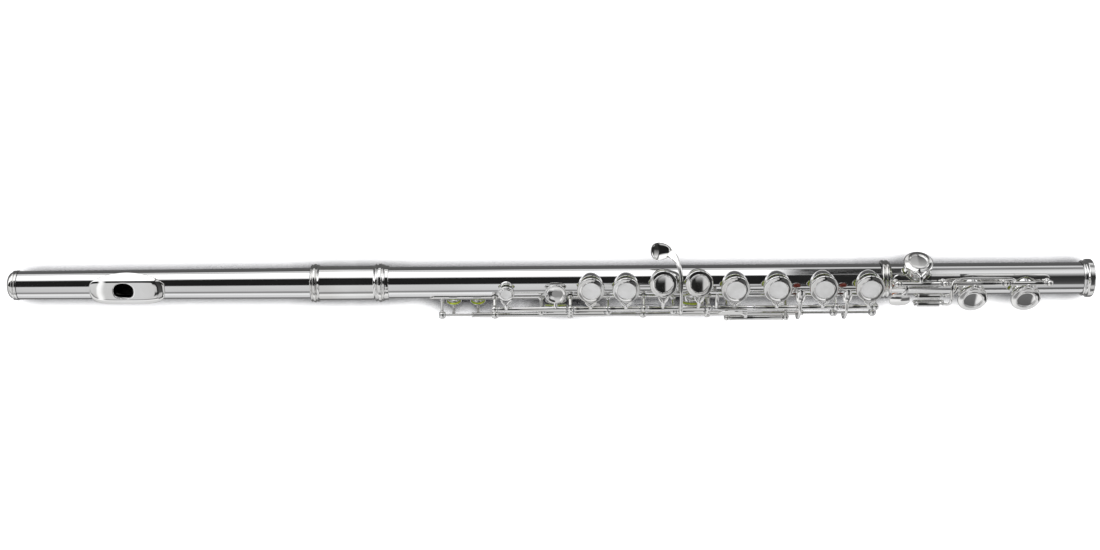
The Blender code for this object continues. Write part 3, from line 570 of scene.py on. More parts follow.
columns = 144
c, s = round_ring(columns)
power = np.where(s > 0, 2 / 1.75, 2 / 6.0)
rim_x = LIP_X + LIP_HALF * np.sign(c) * np.abs(c) ** power
rim_angle = LIP_MIDDLE - np.where(s > 0, FAR_SPAN, NEAR_SPAN) * np.sign(s) * np.abs(s) ** power
hole_shape = oval(*MOUTH_HALF, columns, power=2.35)
per_metre = math.degrees(1 / 0.0132)


def hole_ring(grow, radius):
    """The mouth hole's outline, grown by a margin, at a radius from the tube's axis."""
    size = 1 + grow / 0.0057
    return polar(MOUTH_X + hole_shape[:, 0] * size, radius, MOUTH_ANGLE - hole_shape[:, 1] * size * per_metre)


hole_x, hole_angle = MOUTH_X + hole_shape[:, 0], MOUTH_ANGLE - hole_shape[:, 1] * per_metre
rows = []
for share in np.linspace(0.05, 0.985, 26):
    x = hole_x + (rim_x - hole_x) * share
    angle = hole_angle + (rim_angle - hole_angle) * share
    rows.append(polar(x, lip_surface(x, angle), angle))
for share, drop in ((0.996, 0.0001), (1.0, 0.0003), (0.996, 0.0005), (0.985, 0.0006)):
    x = hole_x + (rim_x - hole_x) * share
    angle = hole_angle + (rim_angle - hole_angle) * share
    rows.append(polar(x, lip_surface(x, angle) - drop, angle))
for share in np.linspace(0.95, 0.3, 10):
    x = hole_x + (rim_x - hole_x) * share
    angle = hole_angle + (rim_angle - hole_angle) * share
    rows.append(polar(x, lip_surface(x, angle) - 0.0006, angle))
for grow, radius in ((0.0022, 0.0114), (0.0017, 0.0110), (0.0015, 0.0104), (0.0017, 0.0095), (0.0021, 0.0091)):
    rows.append(hole_ring(grow, radius))
for grow, radius in ((0.0004, 0.00855), (0.0001, 0.0087), (0.0, 0.0100), (-0.0002, 0.0110), (-0.0001, 0.0117)):
    rows.append(hole_ring(grow, radius))
edge_radius = lip_surface(hole_x, hole_angle)
rows.append(polar(hole_x, edge_radius - 0.00025, hole_angle))
x, angle = hole_x + (rim_x - hole_x) * 0.015, hole_angle + (rim_angle - hole_angle) * 0.015
rows.append(polar(x, edge_radius - 0.00005, angle))
make("lip_plate_on_riser", [grid(np.stack(rows), ring=True)], "head", [silver], ["lip_plate", "riser"], sharp=55)
print("lip plate", len(rows) * columns, "points")

# %% [markdown]
# ## Barrel, body and foot tubes
# The barrel is a turned sleeve with a band of beads at each end. The body's tone holes are drawn up
# out of its own wall and their rims rolled over, so each is a little chimney that flares out of the
# tube. The flare is worked out where it meets the round tube: height = sqrt(R^2 - (r sin t)^2).

# %% Barrel and rings
barrel_profile = soften([
    (0.1880, 0.0112), (0.1886, 0.0118), (0.1893, 0.0112), (0.1896, 0.0112), (0.1899, 0.0119),
    (0.1912, 0.0119), (0.1915, 0.0112), (0.1918, 0.0112), (0.1924, 0.0118), (0.1930, 0.0112),
    (0.1936, 0.0107), (0.2270, 0.0107), (0.2277, 0.0112), (0.2284, 0.0118), (0.2291, 0.0112),
    (0.2296, 0.0112), (0.2300, 0.0119), (0.2318, 0.0119), (0.2322, 0.0112), (0.2328, 0.0116),
    (0.2334, 0.0110), (0.2340, 0.0108), (0.2362, 0.0107), (0.2362, 0.0102), (0.2303, 0.0102),
    (0.2303, 0.0100), (0.1880, 0.0100), (0.1880, 0.0106),
], 0.0003)
make(
    "barrel_turned_sleeve", [lathe_along(barrel_profile, columns=144, ring=True)], "body", [silver], ["barrel"]
)


# %% Tone-hole chimneys
def chimney(x, angle, radius, tube_radius=TUBE_RADIUS, columns=72):
    """A drawn chimney: a flare, a straight wall, a rolled rim and its hole, as one closed ring."""
    c, s = round_ring(columns)
    outer, inner_tube = radius + CHIMNEY_WALL, tube_radius - TUBE_WALL

    def lying_on(size, tube, lift):
        """A ring lying on the tube: z = sqrt(R^2 - y^2) + lift."""
        return np.stack([size * c, size * s, np.sqrt(tube**2 - (size * s) ** 2) + lift], -1)

    def level(size, height):
        """A flat ring at a height."""
        return np.stack([size * c, size * s, np.full(columns, height)], -1)

    flare = 0.0004
    rows = [lying_on(outer + flare, tube_radius, -0.00012)]
    for bend in np.radians([15, 35, 55, 75, 90]):
        rows.append(lying_on(outer + flare * (1 - math.sin(bend)), tube_radius, flare * 0.8 * (1 - math.cos(bend))))
    roll = 0.0004
    rows.append(level(outer, RIM_HEIGHT - 2 * roll))
    for bend in np.radians([-60, -20, 20, 60, 90, 120, 160]):
        size = outer - roll * 0.5 + roll * 0.8 * math.cos(bend)
        rows.append(level(size, RIM_HEIGHT - roll + roll * math.sin(bend)))
    rows += [level(radius, RIM_HEIGHT - 2 * roll), lying_on(radius, inner_tube, 0.0002)]
    rows += [lying_on(radius, inner_tube, -0.0001), lying_on(radius + 0.0004, inner_tube, -0.0001)]
    return placed(grid(np.stack(rows), ring=True), lambda p: seat(p, x, angle))


def drills(holes):
    """A cylinder through the wall at each hole, halfway through its chimney's wall."""
    return [
        placed(lathe_up([(0.002, r + 0.0003), (0.014, r + 0.0003)], 48), lambda p, x=x, a=a: seat(p, x, a))
        for x, a, r in holes.values()
    ]


def rows_beside(start, end, holes):
    """Places along a tube: its ends, and a row either side of every hole, so that a cut spoils no long face."""
    marks = [start, end]
    for x, _, r in holes.values():
        marks += [x - r - 0.0012, x + r + 0.0012]
    marks = np.unique(np.round([m for m in marks if start <= m <= end], 5))
    keep = np.concatenate([[True], np.diff(marks) > 0.0008])
    return marks[keep]


body_x = rows_beside(0.2306, 0.5400, BODY_HOLES)
body_radii = np.full(len(body_x), TUBE_RADIUS)
tenon = TUBE_RADIUS - TUBE_WALL - 0.0003
body_x = np.concatenate([body_x[:-1], [0.5399, 0.5400, 0.5518]])
body_radii = np.concatenate([body_radii[:-1], [TUBE_RADIUS, tenon, tenon]])
pipe("body_drawn_tube", body_x, body_radii, TUBE_WALL, drills(BODY_HOLES), "body", ["body_tube"])
make("body_chimneys", [chimney(*place) for place in BODY_HOLES.values()], "body", [tube_silver])

foot_x = rows_beside(0.5403, 0.6675, FOOT_HOLES)
pipe(
    "foot_drawn_tube", foot_x, np.full(len(foot_x), TUBE_RADIUS), TUBE_WALL, drills(FOOT_HOLES), "foot",
    ["foot_tube"],
)
make("foot_chimneys", [chimney(*place) for place in FOOT_HOLES.values()], "foot", [tube_silver])
socket_profile = soften([
    (0.5403, 0.0102), (0.5403, 0.0114), (0.5409, 0.0119), (0.5420, 0.0119), (0.5424, 0.0114), (0.5428, 0.0114),
    (0.5432, 0.0119), (0.5444, 0.0119), (0.5450, 0.0114), (0.5461, 0.0108), (0.5461, 0.0102),
], 0.00025)
socket_band = lathe_along(socket_profile, columns=128, ring=True)
make("foot_socket_band", [socket_band], "foot", [silver], ["foot_socket_ring"])
end_profile = soften([
    (0.6645, 0.0102), (0.6645, 0.0106), (0.6652, 0.0111), (0.6660, 0.0107), (0.6668, 0.0108), (0.6676, 0.0119),
    (0.6704, 0.0119), (0.6710, 0.0115), (0.6710, 0.0097), (0.6679, 0.0096), (0.6679, 0.0102),
], 0.0003)
make("foot_end_band", [lathe_along(end_profile, columns=128, ring=True)], "foot", [silver], ["foot_end_ring"])
print("tubes ready")

# %% [markdown]
# ## Keywork
# Every key is a tube that turns on a steel rod, with arms hard-soldered to it. A cup is stamped from
# sheet: a flat centre, a raised ring, a band that falls away, and a rounded shoulder down to a
# straight skirt that holds the pad. Keys are shaped shut, then turned to where they rest.


# %% Cups and pads
def spot(*places):
    """A path of (x, radius, angle) places round the tube."""
    x, radius, angle = np.array(places, float).T
    return polar(x, radius, angle)


def outward(angle):
    """The direction away from the tube at an angle."""
    return tuple(polar(0.0, 1.0, angle))


POLISHED = ("g_upper", "g_lower", "foot_d_sharp", "foot_c_sharp", "foot_c", "thumb", "g_sharp")


def cup(hole):
    """A stamped cup, hollow below. A polished centre is dished by k r^2, and a satin one is flat."""
    x, angle, radius = HOLES[hole]
    outer, inner = radius + 0.0017, radius + 0.0012
    ring = min(0.0061, outer * 0.68)
    bend = np.radians(np.linspace(7, 90, 10))
    fall = 0.11 * (outer - 0.0010 - ring)
    shoulder = np.stack([0.0148 - fall + 0.0010 * np.cos(bend), outer - 0.0010 + 0.0010 * np.sin(bend)], -1)
    r = np.linspace(0.0003, ring - 0.0006, 10)
    sink = 0.00034 if hole in POLISHED else 0.00004
    centre = np.stack([0.01556 - sink * (1 - (r / ring) ** 2) * 0.55, r], -1)
    top = np.array([
        (0.01562, ring - 0.00042),
        (0.01568, ring - 0.00036), (0.01594, ring - 0.0003), (0.01600, ring - 0.00015), (0.01600, ring + 0.00005),
        (0.01592, ring + 0.0002), (0.01580, ring + 0.00028), (0.01574, ring + 0.00040),
    ])
    skirt = np.array([
        (0.01365, outer), (0.01355, outer - 0.00002), (0.01345, outer - 0.0001), (0.01342, outer - 0.00025),
        (0.01345, inner + 0.00005), (0.01360, inner), (0.0149, inner), (0.0152, inner - 0.0003), (0.0152, 0.0004),
    ])
    rows = np.concatenate([centre, top, shoulder, skirt])
    slots = np.zeros(len(rows), int)
    slots[: len(centre)] = hole not in POLISHED
    return placed(lathe_up(rows, 88, slots=slots), lambda p: seat(p, x, angle))


def cone_cup(hole):
    """A trill key's small cup, drawn to a soft cone."""
    x, angle, radius = HOLES[hole]
    outer, inner = radius + 0.0017, radius + 0.0012
    rows = soften([
        (0.0160, 0.0003), (0.0160, 0.0014), (0.01572, 0.0021), (0.0149, 0.0034), (0.0141, outer - 0.0002),
        (0.0138, outer), (0.0134, outer), (0.0134, inner), (0.0139, inner), (0.0147, 0.0028), (0.0147, 0.0003),
    ], 0.0003)
    return placed(lathe_up(rows, 56), lambda p: seat(p, x, angle))


def pad(hole, cone=False):
    """A pad: pillowy, with the ring that its chimney's rim has pressed into it."""
    x, angle, radius = HOLES[hole]
    edge = radius + 0.0010
    top = 0.0138 if cone else 0.0149
    bend = np.radians(np.linspace(-70, 60, 6))
    rows = [
        (0.01272, 0.0003), (0.01274, radius * 0.5), (0.01280, radius - 0.0009), (0.01290, radius - 0.0002),
        (0.01300, radius + 0.0003), (0.01290, radius + 0.0006),
    ]
    rows += [(0.01325 + 0.0004 * math.sin(b), edge - 0.0003 + 0.0004 * math.cos(b)) for b in bend]
    rows += [(top - 0.0002, edge), (top, edge - 0.0003), (top, 0.0003)]
    return placed(lathe_up(rows, 72), lambda p: seat(p, x, angle))


def arm(hole, axis):
    """A forked arm: a stem from the tube that splits in two and lies down on the cup's shoulder."""
    spread, width = 0.0034, 0.0012
    x, angle, radius = HOLES[hole]
    outer = radius + 0.0017
    lean = math.radians(axis[1] - angle)
    hinge = np.array([0.0, -axis[0] * math.sin(lean), axis[0] * math.cos(lean)])
    side = math.copysign(1.0, hinge[1])
    edge = np.array([0.0, side * (outer - 0.0002), 0.0150])
    fork = edge + (hinge - edge) * 0.42 + np.array([0, 0, 0.0010])
    over = hinge + (fork - hinge) * 0.4 + np.array([0, 0, 0.0006])
    parts = [bar([hinge, over, fork, fork + (edge - fork) * 0.2], [width, width * 0.9, width * 1.2], 0.0009)]
    for hand in (-1, 1):
        tip = np.array([hand * spread, side * (outer - 0.0014), 0.0159])
        knee = np.array([hand * spread * 0.75, side * (outer + 0.0001), 0.0153])
        parts.append(bar([fork + (hinge - fork) * 0.15, knee, tip], [0.0010, 0.0011, 0.0004], [0.0008, 0.0004]))
    return [placed(part, lambda p: seat(p, x, angle)) for part in parts]


def key_tube(start, end, axis, radius=0.0015, bore=0.0011):
    """A key's tube with a turned bead at each end, bored for its rod."""
    rows = soften([
        (start, bore), (start, radius), (start + 0.0002, radius + 0.0001), (start + 0.0010, radius + 0.0001),
        (start + 0.0012, radius - 0.00005), (end - 0.0012, radius - 0.00005), (end - 0.0010, radius + 0.0001),
        (end - 0.0002, radius + 0.0001), (end, radius), (end, bore),
    ], 0.0001, 2)
    return lathe_along(rows, axis, 32, ring=True)


def key(name, body, axis, opened, tubes, cups, parts=(), replaces=None):
    """Makes a key's silver and its pads, turned about its axis from shut to where it rests."""
    def rest(surface):
        """The surface as it hangs open at rest."""
        return placed(surface, lambda p: turn(p, opened, hinge_centre(axis)))

    surfaces = [key_tube(*tube) for tube in tubes] + [cup(hole) for hole in cups]
    for hole in cups:
        surfaces += arm(hole, axis)
    surfaces += list(parts)
    make(f"{name}_silver", [rest(s) for s in surfaces], body, [silver, satin_silver], [replaces or f"{name}_key"])
    for hole in cups:
        piece = make(f"{hole}_skin_pad", [rest(pad(hole))], body, [skin], [f"{hole}_pad"], 60)


# %% The stack, G and C keys
STACK_OPENING = 10.0
for name, start, end in (
    ("b_flat", 0.3506, 0.3710), ("a", 0.3716, 0.3912), ("f_sharp", 0.4358, 0.4614), ("f", 0.4620, 0.4880),
    ("e", 0.4886, 0.5095), ("d", 0.5143, 0.5337),
):
    bridge = [] if name != "f_sharp" else [bar(
        spot((0.4380, *MAIN), (0.4380, 0.0182, 38), (0.4380, 0.0170, 24), (0.4380, 0.0160, 8)),
        [0.0012, 0.0011, 0.0012], [0.0009, 0.0006], outward(25),
    )]
    key(name, name, MAIN, STACK_OPENING, [(start, end, MAIN)], [name], bridge)
key("g", "g", MAIN, STACK_OPENING, [(0.3959, 0.4309, MAIN)], ["g_upper", "g_lower"])

# The left index finger's touch is a shallow dished button at the far end of the little C sharp cup's tube.
button = lathe_up(soften([
    (0.01535, 0.0003), (0.01538, 0.0025), (0.01555, 0.0046), (0.01590, 0.0054), (0.0161, 0.0058), (0.0160, 0.0064),
    (0.0155, 0.0068), (0.0150, 0.0067), (0.0148, 0.0062), (0.0148, 0.0003),
], 0.0003), 80)
button_arm = bar(
    spot((0.3391, *MAIN), (0.3391, 0.0176, 42), (0.3391, 0.0160, 32), (0.3391, 0.0152, 20)),
    [0.0014, 0.0011, 0.0020], 0.0008, outward(35),
)
key(
    "c", "c", MAIN, STACK_OPENING, [(0.3039, 0.3458, MAIN)], ["c_sharp"],
    [placed(button, lambda p: seat(p, 0.3391, 7.0)), button_arm],
)
print("stack keys ready")


# %% Thumb, G sharp and side keys
def curved_touch(x, radius, angle, half_length, half_span, thickness=0.0008, power=4.0, dish=0.0):
    """A plate bent round the tube: its outline in x and angle, with height as radius."""
    flat_touch = plate(oval(half_length, math.radians(half_span) * radius, 72, power), thickness, dish)

    def bend(p):
        """Wraps a flat point (a, b, h): angle falls by b / r, and the radius grows by h."""
        return polar(x + p[..., 0], radius + p[..., 2], angle - np.degrees(p[..., 1] / radius))

    return placed(flat_touch, bend)


thumb_arm = bar(
    spot((0.3420, 0.0163, 88), (0.3440, 0.0165, 92), (0.3465, 0.0165, 95), (0.3510, 0.0160, 100)),
    [0.0012, 0.0010, 0.0014], 0.0007, outward(94),
)
key(
    "thumb", "thumb", THUMB, -12.0, [(0.3326, 0.3458, THUMB)], ["thumb"],
    [thumb_arm, curved_touch(0.3535, 0.0156, 101, 0.0040, 9)],
)
lever_arm = bar(
    spot((0.3640, *THUMB), (0.3640, 0.0176, 68), (0.3640, 0.0164, 80), (0.3635, 0.0156, 95)),
    [0.0012, 0.0009, 0.0014], 0.0007, outward(78),
)
key(
    "thumb_b_flat", "thumb_b_flat", THUMB, -6.0, [(0.3506, 0.3692, THUMB)], [],
    [lever_arm, curved_touch(0.3630, 0.0156, 101, 0.0040, 9)], "thumb_b_flat_lever",
)

g_sharp_path = spot(
    (0.4160, *THUMB), (0.4160, 0.0218, 52), (0.4160, 0.0222, 38), (0.4160, 0.0186, 12), (0.4160, 0.0166, -20),
    (0.4150, 0.0172, -46), (0.4125, 0.0186, -66), (0.4090, 0.0196, -80),
)
neck_up = outward(-15)
g_sharp_lever = bar(g_sharp_path[2:], [0.0010, 0.0010, 0.0011, 0.0014, 0.0030], [0.0008, 0.0007, 0.0004], neck_up, 90)
g_sharp_root = bar(g_sharp_path[:4], [0.0012, 0.0010], 0.0009, outward(100), 40)
spoon = plate(oval(0.0067, 0.0054, 96, 2.1, taper=-0.22), 0.0011, dish=0.0011, rim=0.00012, rows=18)
spoon = placed(spoon, lambda p: seat(turn(p, -9) + np.array([0, 0.0182, 0.0072]), 0.4045, -LIE_ROLL))
key(
    "g_sharp", "g_sharp", THUMB, 0.0, [(0.4140, 0.4309, THUMB)], ["g_sharp"], [g_sharp_root, g_sharp_lever, spoon],
)

side_bar = bar(
    spot((0.4560, *SIDE), (0.4562, 0.0234, 56), (0.4555, 0.0232, 50), (0.4530, 0.0226, 47)),
    [0.0012, 0.0012, 0.0016], 0.0007, outward(54),
)
key(
    "side_b_flat", "side_b_flat", SIDE, 0.0, [(0.4466, 0.4796, SIDE, 0.0017)], [],
    [side_bar, curved_touch(0.4480, 0.0225, 46, 0.0090, 6, power=2.4, dish=-0.0002)], "side_b_flat_lever",
)
print("thumb, G sharp and side keys ready")

# %% The two trill keys
TRILL_ROLL = np.array([[0.0206, 82], [0.0236, 68], [0.0234, 46], [0.0214, 26], [0.0199, 15]])
for name, start, end, touch_x, radius in (
    ("d_trill", 0.2870, 0.4930, 0.4888, 0.0015), ("d_sharp_trill", 0.2700, 0.5372, 0.5174, 0.00075),
):
    x, angle, _ = HOLES[name]
    bore = 0.0011 if radius > 0.001 else 0.0
    if bore:
        shaft = key_tube(start, end, TRILL)
    else:
        shaft = lathe_along(soften([
            (start, 0.0002), (start, radius), (end, radius), (end, 0.0002),
        ], 0.0002), TRILL, 24)
    cup_arm = bar(
        spot((x, *TRILL), (x, 0.0196, 90), (x, 0.0180, 98), (x, 0.0165, 103)), [0.0011, 0.0009, 0.0012], 0.0008,
        outward(92),
    )
    reach = np.concatenate([np.full((5, 1), touch_x), TRILL_ROLL], 1)
    touch_arm = bar(polar(*reach.T), [0.0010, 0.0009, 0.0009, 0.0016], [0.0009, 0.0007, 0.0005], outward(50), 70)
    touch = placed(
        plate(oval(0.0030, 0.0052, 72, 2.0), 0.0011, dish=-0.0011, rows=16),
        lambda p, x=touch_x: seat(p + np.array([0, 0, 0.01985]), x, 14.0),
    )
    make(f"{name}_silver", [shaft, cone_cup(name), cup_arm, touch_arm, touch], name, [silver], [f"{name}_key"])
    piece = make(f"{name}_skin_pad", [pad(name, cone=True)], name, [skin], [f"{name}_pad"], 60)
    block = [
        (0.0176, 0.05), (0.0176, 0.94), (0.0178, 1.0), (0.0188, 1.0), (0.0191, 0.96), (0.0191, 0.05),
    ]
    bumper = lathe_up(block, 40, stretch=(0.0022, 0.0030))
    make(
        f"{name}_wool_felt", [placed(bumper, lambda p, x=touch_x: seat(p, x, 14.0))], name, [felt],
        [f"{name}_felt"], 50,
    )
print("trill keys ready")

# %% [markdown]
# ## Foot keys
# The little finger works three keys on the foot. Two of them end in rollers, so that the finger can
# slide from one to the other. Each roller spins on a pin held in a bent yoke.

# %% Foot keys and rollers
d_bar = bar(
    spot((0.5535, *FOOT), (0.5535, 0.0188, 1), (0.5530, 0.0192, 7), (0.5515, 0.0188, 15)),
    [0.0013, 0.0011, 0.0020], 0.0008, outward(5),
)
d_touch = curved_touch(0.5498, 0.0186, 26, 0.0063, 16, power=2.6, dish=-0.0003)
key("foot_d_sharp", "foot_d_sharp", FOOT, 0.0, [(0.5504, 0.5746, FOOT)], ["foot_d_sharp"], [d_bar, d_touch])
cork_block = curved_touch(0.5470, 0.01725, 17, 0.0020, 5, thickness=0.0015, power=6.0)
make("foot_d_sharp_bumper", [cork_block], "foot_d_sharp", [cork], ["foot_d_sharp_cork"], 50)


def rounded_cup_key(name, tube, place, reach, widths):
    """A foot key with its arm bent back to a roller's yoke and pin."""
    radius, angle = place
    near, far = 0.5762, 0.5590
    arm_bar = bar(spot(*reach, (near, radius, angle)), widths, 0.0008, outward(angle + 35), 70)
    yoke = bar(
        spot((near, radius, angle), (near, radius - 0.0018, angle), (near - 0.0012, radius - 0.003, angle),
             (far + 0.0012, radius - 0.003, angle), (far, radius - 0.0018, angle), (far, radius, angle)),
        0.0008, 0.0007, polar(0.0, 1.0, angle + 90), 80,
    )
    pin = lathe_along([(far - 0.0004, 0.0001), (far - 0.0003, 0.0005), (near + 0.0003, 0.0005),
                       (near + 0.0004, 0.0001)], place, 20)
    bosses = [
        lathe_along(soften([(x - 0.0006, 0.0002), (x - 0.0006, 0.0011), (x + 0.0006, 0.0011), (x + 0.0006, 0.0002)],
                           0.0002), place, 24)
        for x in (far, near)
    ]
    key(name, name, FOOT, -10.0, [(*tube, FOOT)], [name], [arm_bar, yoke, pin, *bosses])
    roller = lathe_along(soften([
        (0.5602, 0.0008), (0.5602, 0.0014), (0.5605, 0.0017), (0.5735, 0.0017), (0.5740, 0.0014), (0.5740, 0.0008),
    ], 0.0003), place, 48, ring=True)
    roller = placed(roller, lambda p: turn(p, -10.0, hinge_centre(FOOT)))
    make(f"{name}_turned_roller", [roller], f"{name}_roller", [silver], [f"{name}_roller"])


rounded_cup_key(
    "foot_c_sharp", (0.5794, 0.6121), (0.0190, 16.0),
    [(0.5840, *FOOT), (0.5840, 0.0192, 0), (0.5825, 0.0198, 8), (0.5795, 0.0196, 13)], [0.0012, 0.0010, 0.0010],
)
rounded_cup_key(
    "foot_c", (0.6169, 0.6386), (0.0190, 33.0),
    [(0.6190, *FOOT), (0.6180, 0.0205, -14), (0.6100, 0.0207, -16), (0.5900, 0.0208, -16), (0.5815, 0.0220, -11),
     (0.5800, 0.0233, 2), (0.5800, 0.0230, 18), (0.5790, 0.0212, 29)], [0.0011, 0.0009, 0.0010, 0.0010],
)
print("foot keys ready")

# %% [markdown]
# ## Ribs, posts, rods and springs
# Posts aren't soldered to the thin tube one by one. They stand on ribs, long straps soldered along
# it, whose edges are filed back round each chimney. Each post has a flared foot, a slim stem and a
# ball drilled for its rod, and some hold a needle spring that pushes a key open or shut.


# %% Ribs and posts
def rib(start, end, low, high, holes):
    """A strap: its edges give way to each chimney, asin(sqrt(r^2 - dx^2) / R) from the hole's angle."""
    x = np.linspace(start, end, 220)
    left, right = np.full(len(x), float(low)), np.full(len(x), float(high))
    middle = (low + high) / 2
    for hole in holes:
        place, angle, radius = HOLES[hole]
        inside = np.clip((radius + 0.0012) ** 2 - (x - place) ** 2, 0, None)
        reach = np.degrees(np.arcsin(np.sqrt(inside) / 0.0106))
        hit = inside > 0
        if angle < middle:
            left = np.where(hit, np.maximum(left, angle + reach), left)
        else:
            right = np.where(hit, np.minimum(right, angle - reach), right)
    end_share = np.clip(np.minimum(x - start, end - x) / 0.0035, 0, 1)
    squeeze = np.sqrt(1 - (1 - end_share) ** 2) * 0.97 + 0.03
    centre, half = (left + right) / 2, (right - left) / 2 * squeeze
    c, s = round_ring(24)
    across = np.sign(c) * np.abs(c) ** 0.45
    high_side = np.where(s > 0, 0.0110 - 0.0102, 0.0102 - 0.0098)
    radius = 0.0102 + high_side * np.sign(s) * np.abs(s) ** 0.5
    return grid(polar(x[:, None], radius[None, :], centre[:, None] + half[:, None] * across[None, :]))


def post(x, axis):
    """A flared foot, a slim stem and a ball drilled through along the flute."""
    radius, angle = axis
    size, bore = {TRILL: (0.0025, 0.0018), SIDE: (0.0019, 0.0011)}.get(axis, (0.0021, 0.0011))
    stem = placed(lathe_up(soften([
        (0.0104, 0.0003), (0.0104, 0.0021), (0.0111, 0.0020), (0.0114, 0.0013), (0.0122, 0.00095),
        (radius - size * 1.1, 0.0009), (radius - size * 0.75, 0.0014), (radius - size * 0.70, 0.0003),
    ], 0.0003), 32), lambda p: seat(p, x, angle))
    bend = np.linspace(-1, 1, 13)
    ball = np.stack([x + size * 0.8 * bend, size * np.sqrt(1 - (0.8 * bend) ** 2)], -1)
    ball = np.concatenate([[(x - size * 0.8, bore)], ball, [(x + size * 0.8, bore)]])
    return [stem, lathe_along(ball, axis, 40, ring=True)]


UPPER_POSTS = [(0.2686, TRILL), (0.3015, MAIN), (0.3015, TRILL), (0.3302, THUMB)]
MIDDLE_POSTS = [
    (0.3482, MAIN), (0.3482, THUMB), (0.3482, TRILL), (0.3716, THUMB), (0.3935, MAIN), (0.3935, TRILL),
    (0.4116, THUMB),
]
LOWER_POSTS = [
    (0.4333, MAIN), (0.4333, THUMB), (0.4333, TRILL), (0.4448, SIDE), (0.4814, SIDE), (0.5119, MAIN),
    (0.5119, TRILL), (0.5360, MAIN), (0.5360, TRILL),
]
FOOT_POSTS = [(0.5480, FOOT), (0.5770, FOOT), (0.6145, FOOT), (0.6410, FOOT)]
for name, start, end, low, high, holes, posts, body in (
    ("upper_rib", 0.2610, 0.3322, 45, 87, ("d_sharp_trill", "d_trill"), UPPER_POSTS, "body"),
    ("middle_rib", 0.3466, 0.4136, 43, 87, ("b_flat", "a"), MIDDLE_POSTS, "body"),
    ("lower_rib", 0.4322, 0.5382, 43, 87, ("g_lower", "f_sharp", "f", "e", "d"), LOWER_POSTS, "body"),
    ("foot_rib", 0.5465, 0.6428, -34, 9, tuple(FOOT_HOLES), FOOT_POSTS, "foot"),
):
    stands = [surface for place in posts for surface in post(*place)]
    make(f"{name}_and_posts", [rib(start, end, low, high, holes), *stands], body, [silver], [name])

for name, start, end, axis, body in (
    ("left_rod", 0.3000, 0.3929, MAIN, "body"), ("g_rod", 0.3940, 0.4327, MAIN, "body"),
    ("right_rod", 0.4338, 0.5378, MAIN, "body"), ("thumb_rod", 0.3286, 0.3732, THUMB, "body"),
    ("g_sharp_rod", 0.4100, 0.4350, THUMB, "body"), ("side_lever_rod", 0.4432, 0.4830, SIDE, "body"),
    ("foot_rod", 0.5464, 0.6428, FOOT, "foot"),
):
    head = soften([
        (start, 0.0001), (start, 0.0007), (start + 0.0002, 0.0008), (end - 0.0002, 0.0008), (end, 0.0007),
        (end, 0.0001),
    ], 0.0001)
    make(f"{name}_drawn", [lathe_along(head, axis, 24)], body, [steel], [name])

# %% Needle springs
springs = []
for start, end, axis in (
    (0.3482, 0.3640, MAIN), (0.3935, 0.3800, MAIN), (0.3935, 0.4090, MAIN), (0.4333, 0.4470, MAIN),
    (0.5119, 0.4980, MAIN), (0.5119, 0.5260, MAIN), (0.3716, 0.3600, THUMB), (0.4116, 0.4230, THUMB),
):
    radius, angle = axis
    springs.append(bar(
        spot((start, radius - 0.0026, angle), ((start + end) / 2, radius - 0.0025, angle + 2),
             (end, radius - 0.0022, angle + 5)), 0.00018, 0.00018, outward(angle), 24, 8,
    ))
make("body_needle_springs", springs, "body", [blued])
foot_springs = [
    bar(spot((start, 0.0150, -7), ((start + end) / 2, 0.0150, -9), (end, 0.0153, -11)), 0.00018, 0.00018,
        outward(-7), 24, 8)
    for start, end in ((0.5770, 0.5640), (0.5770, 0.5900), (0.6145, 0.6270))
]
make("foot_needle_springs", foot_springs, "foot", [blued])
print("ribs, posts, rods and springs ready")

# %% [markdown]
# ## What stays from the model
# The stopper is hidden in the head, so its turned screw and its cork keep their modelled shapes and
# only take on a finish.

# %% Finishes on the model's own nodes
for name, kept_finish in (("stopper_screw", steel), ("stopper_cork", cork)):
    node = bpy.data.objects[name]
    node.data.materials.clear()
    node.data.materials.append(kept_finish)
print("stopper finished")

# %% [markdown]
# ## Floor, light and camera
# A mirror shows its surroundings, so the room is the paint: a long white strip light at one side,
# a dark gap overhead where the camera hangs, a softer light at the other side. The bands follow
# the angle round the flute, atan2(y, z), and change with how far a direction leans towards the
# foot. The floor is a white paper sweep under a big soft light. It glows a little by itself too, so
# that it stays white far from the lamp. It could be lit only by a lamp, but that leaves a grey edge.

# %% Room
world = bpy.data.worlds.new("studio")
bpy.context.scene.world = world
world.use_nodes = True
tree = world.node_tree
tree.nodes.clear()
direction = add(tree, "ShaderNodeTexCoord").outputs["Generated"]
parts = add(tree, "ShaderNodeSeparateXYZ", Vector=direction)
around = add(tree, "ShaderNodeMath", {"operation": "ARCTAN2"}, i0=parts.outputs["Y"], i1=parts.outputs["Z"])
place = add(
    tree, "ShaderNodeMapRange", None, {"From Min": -math.pi, "From Max": math.pi}, Value=around.outputs[0],
)


def grey(level):
    """A grey with a trace of blue, as linear light."""
    return (level, level, level * 1.01, 1.0)


def band_ramp(table):
    """Grey levels by angle round the flute, each an (angle in degrees, level)."""
    item = add(tree, "ShaderNodeValToRGB", Fac=place.outputs["Result"])
    return ramp_stops(item, [((angle + 180) / 360, grey(level)) for angle, level in table]).outputs["Color"]


def from_x(start, end, before, after):
    """One colour, then another, by how far a direction leans towards the foot: x from -1 to 1."""
    share = add(tree, "ShaderNodeMapRange", None, {"From Min": start, "From Max": end}, Value=parts.outputs["X"])
    mix = add(tree, "ShaderNodeMix", {"data_type": "RGBA"}, i0=share.outputs["Result"], i6=before)
    if isinstance(after, tuple):
        mix.inputs[7].default_value = after
    else:
        tree.links.new(after, mix.inputs[7])
    return mix.outputs[2]


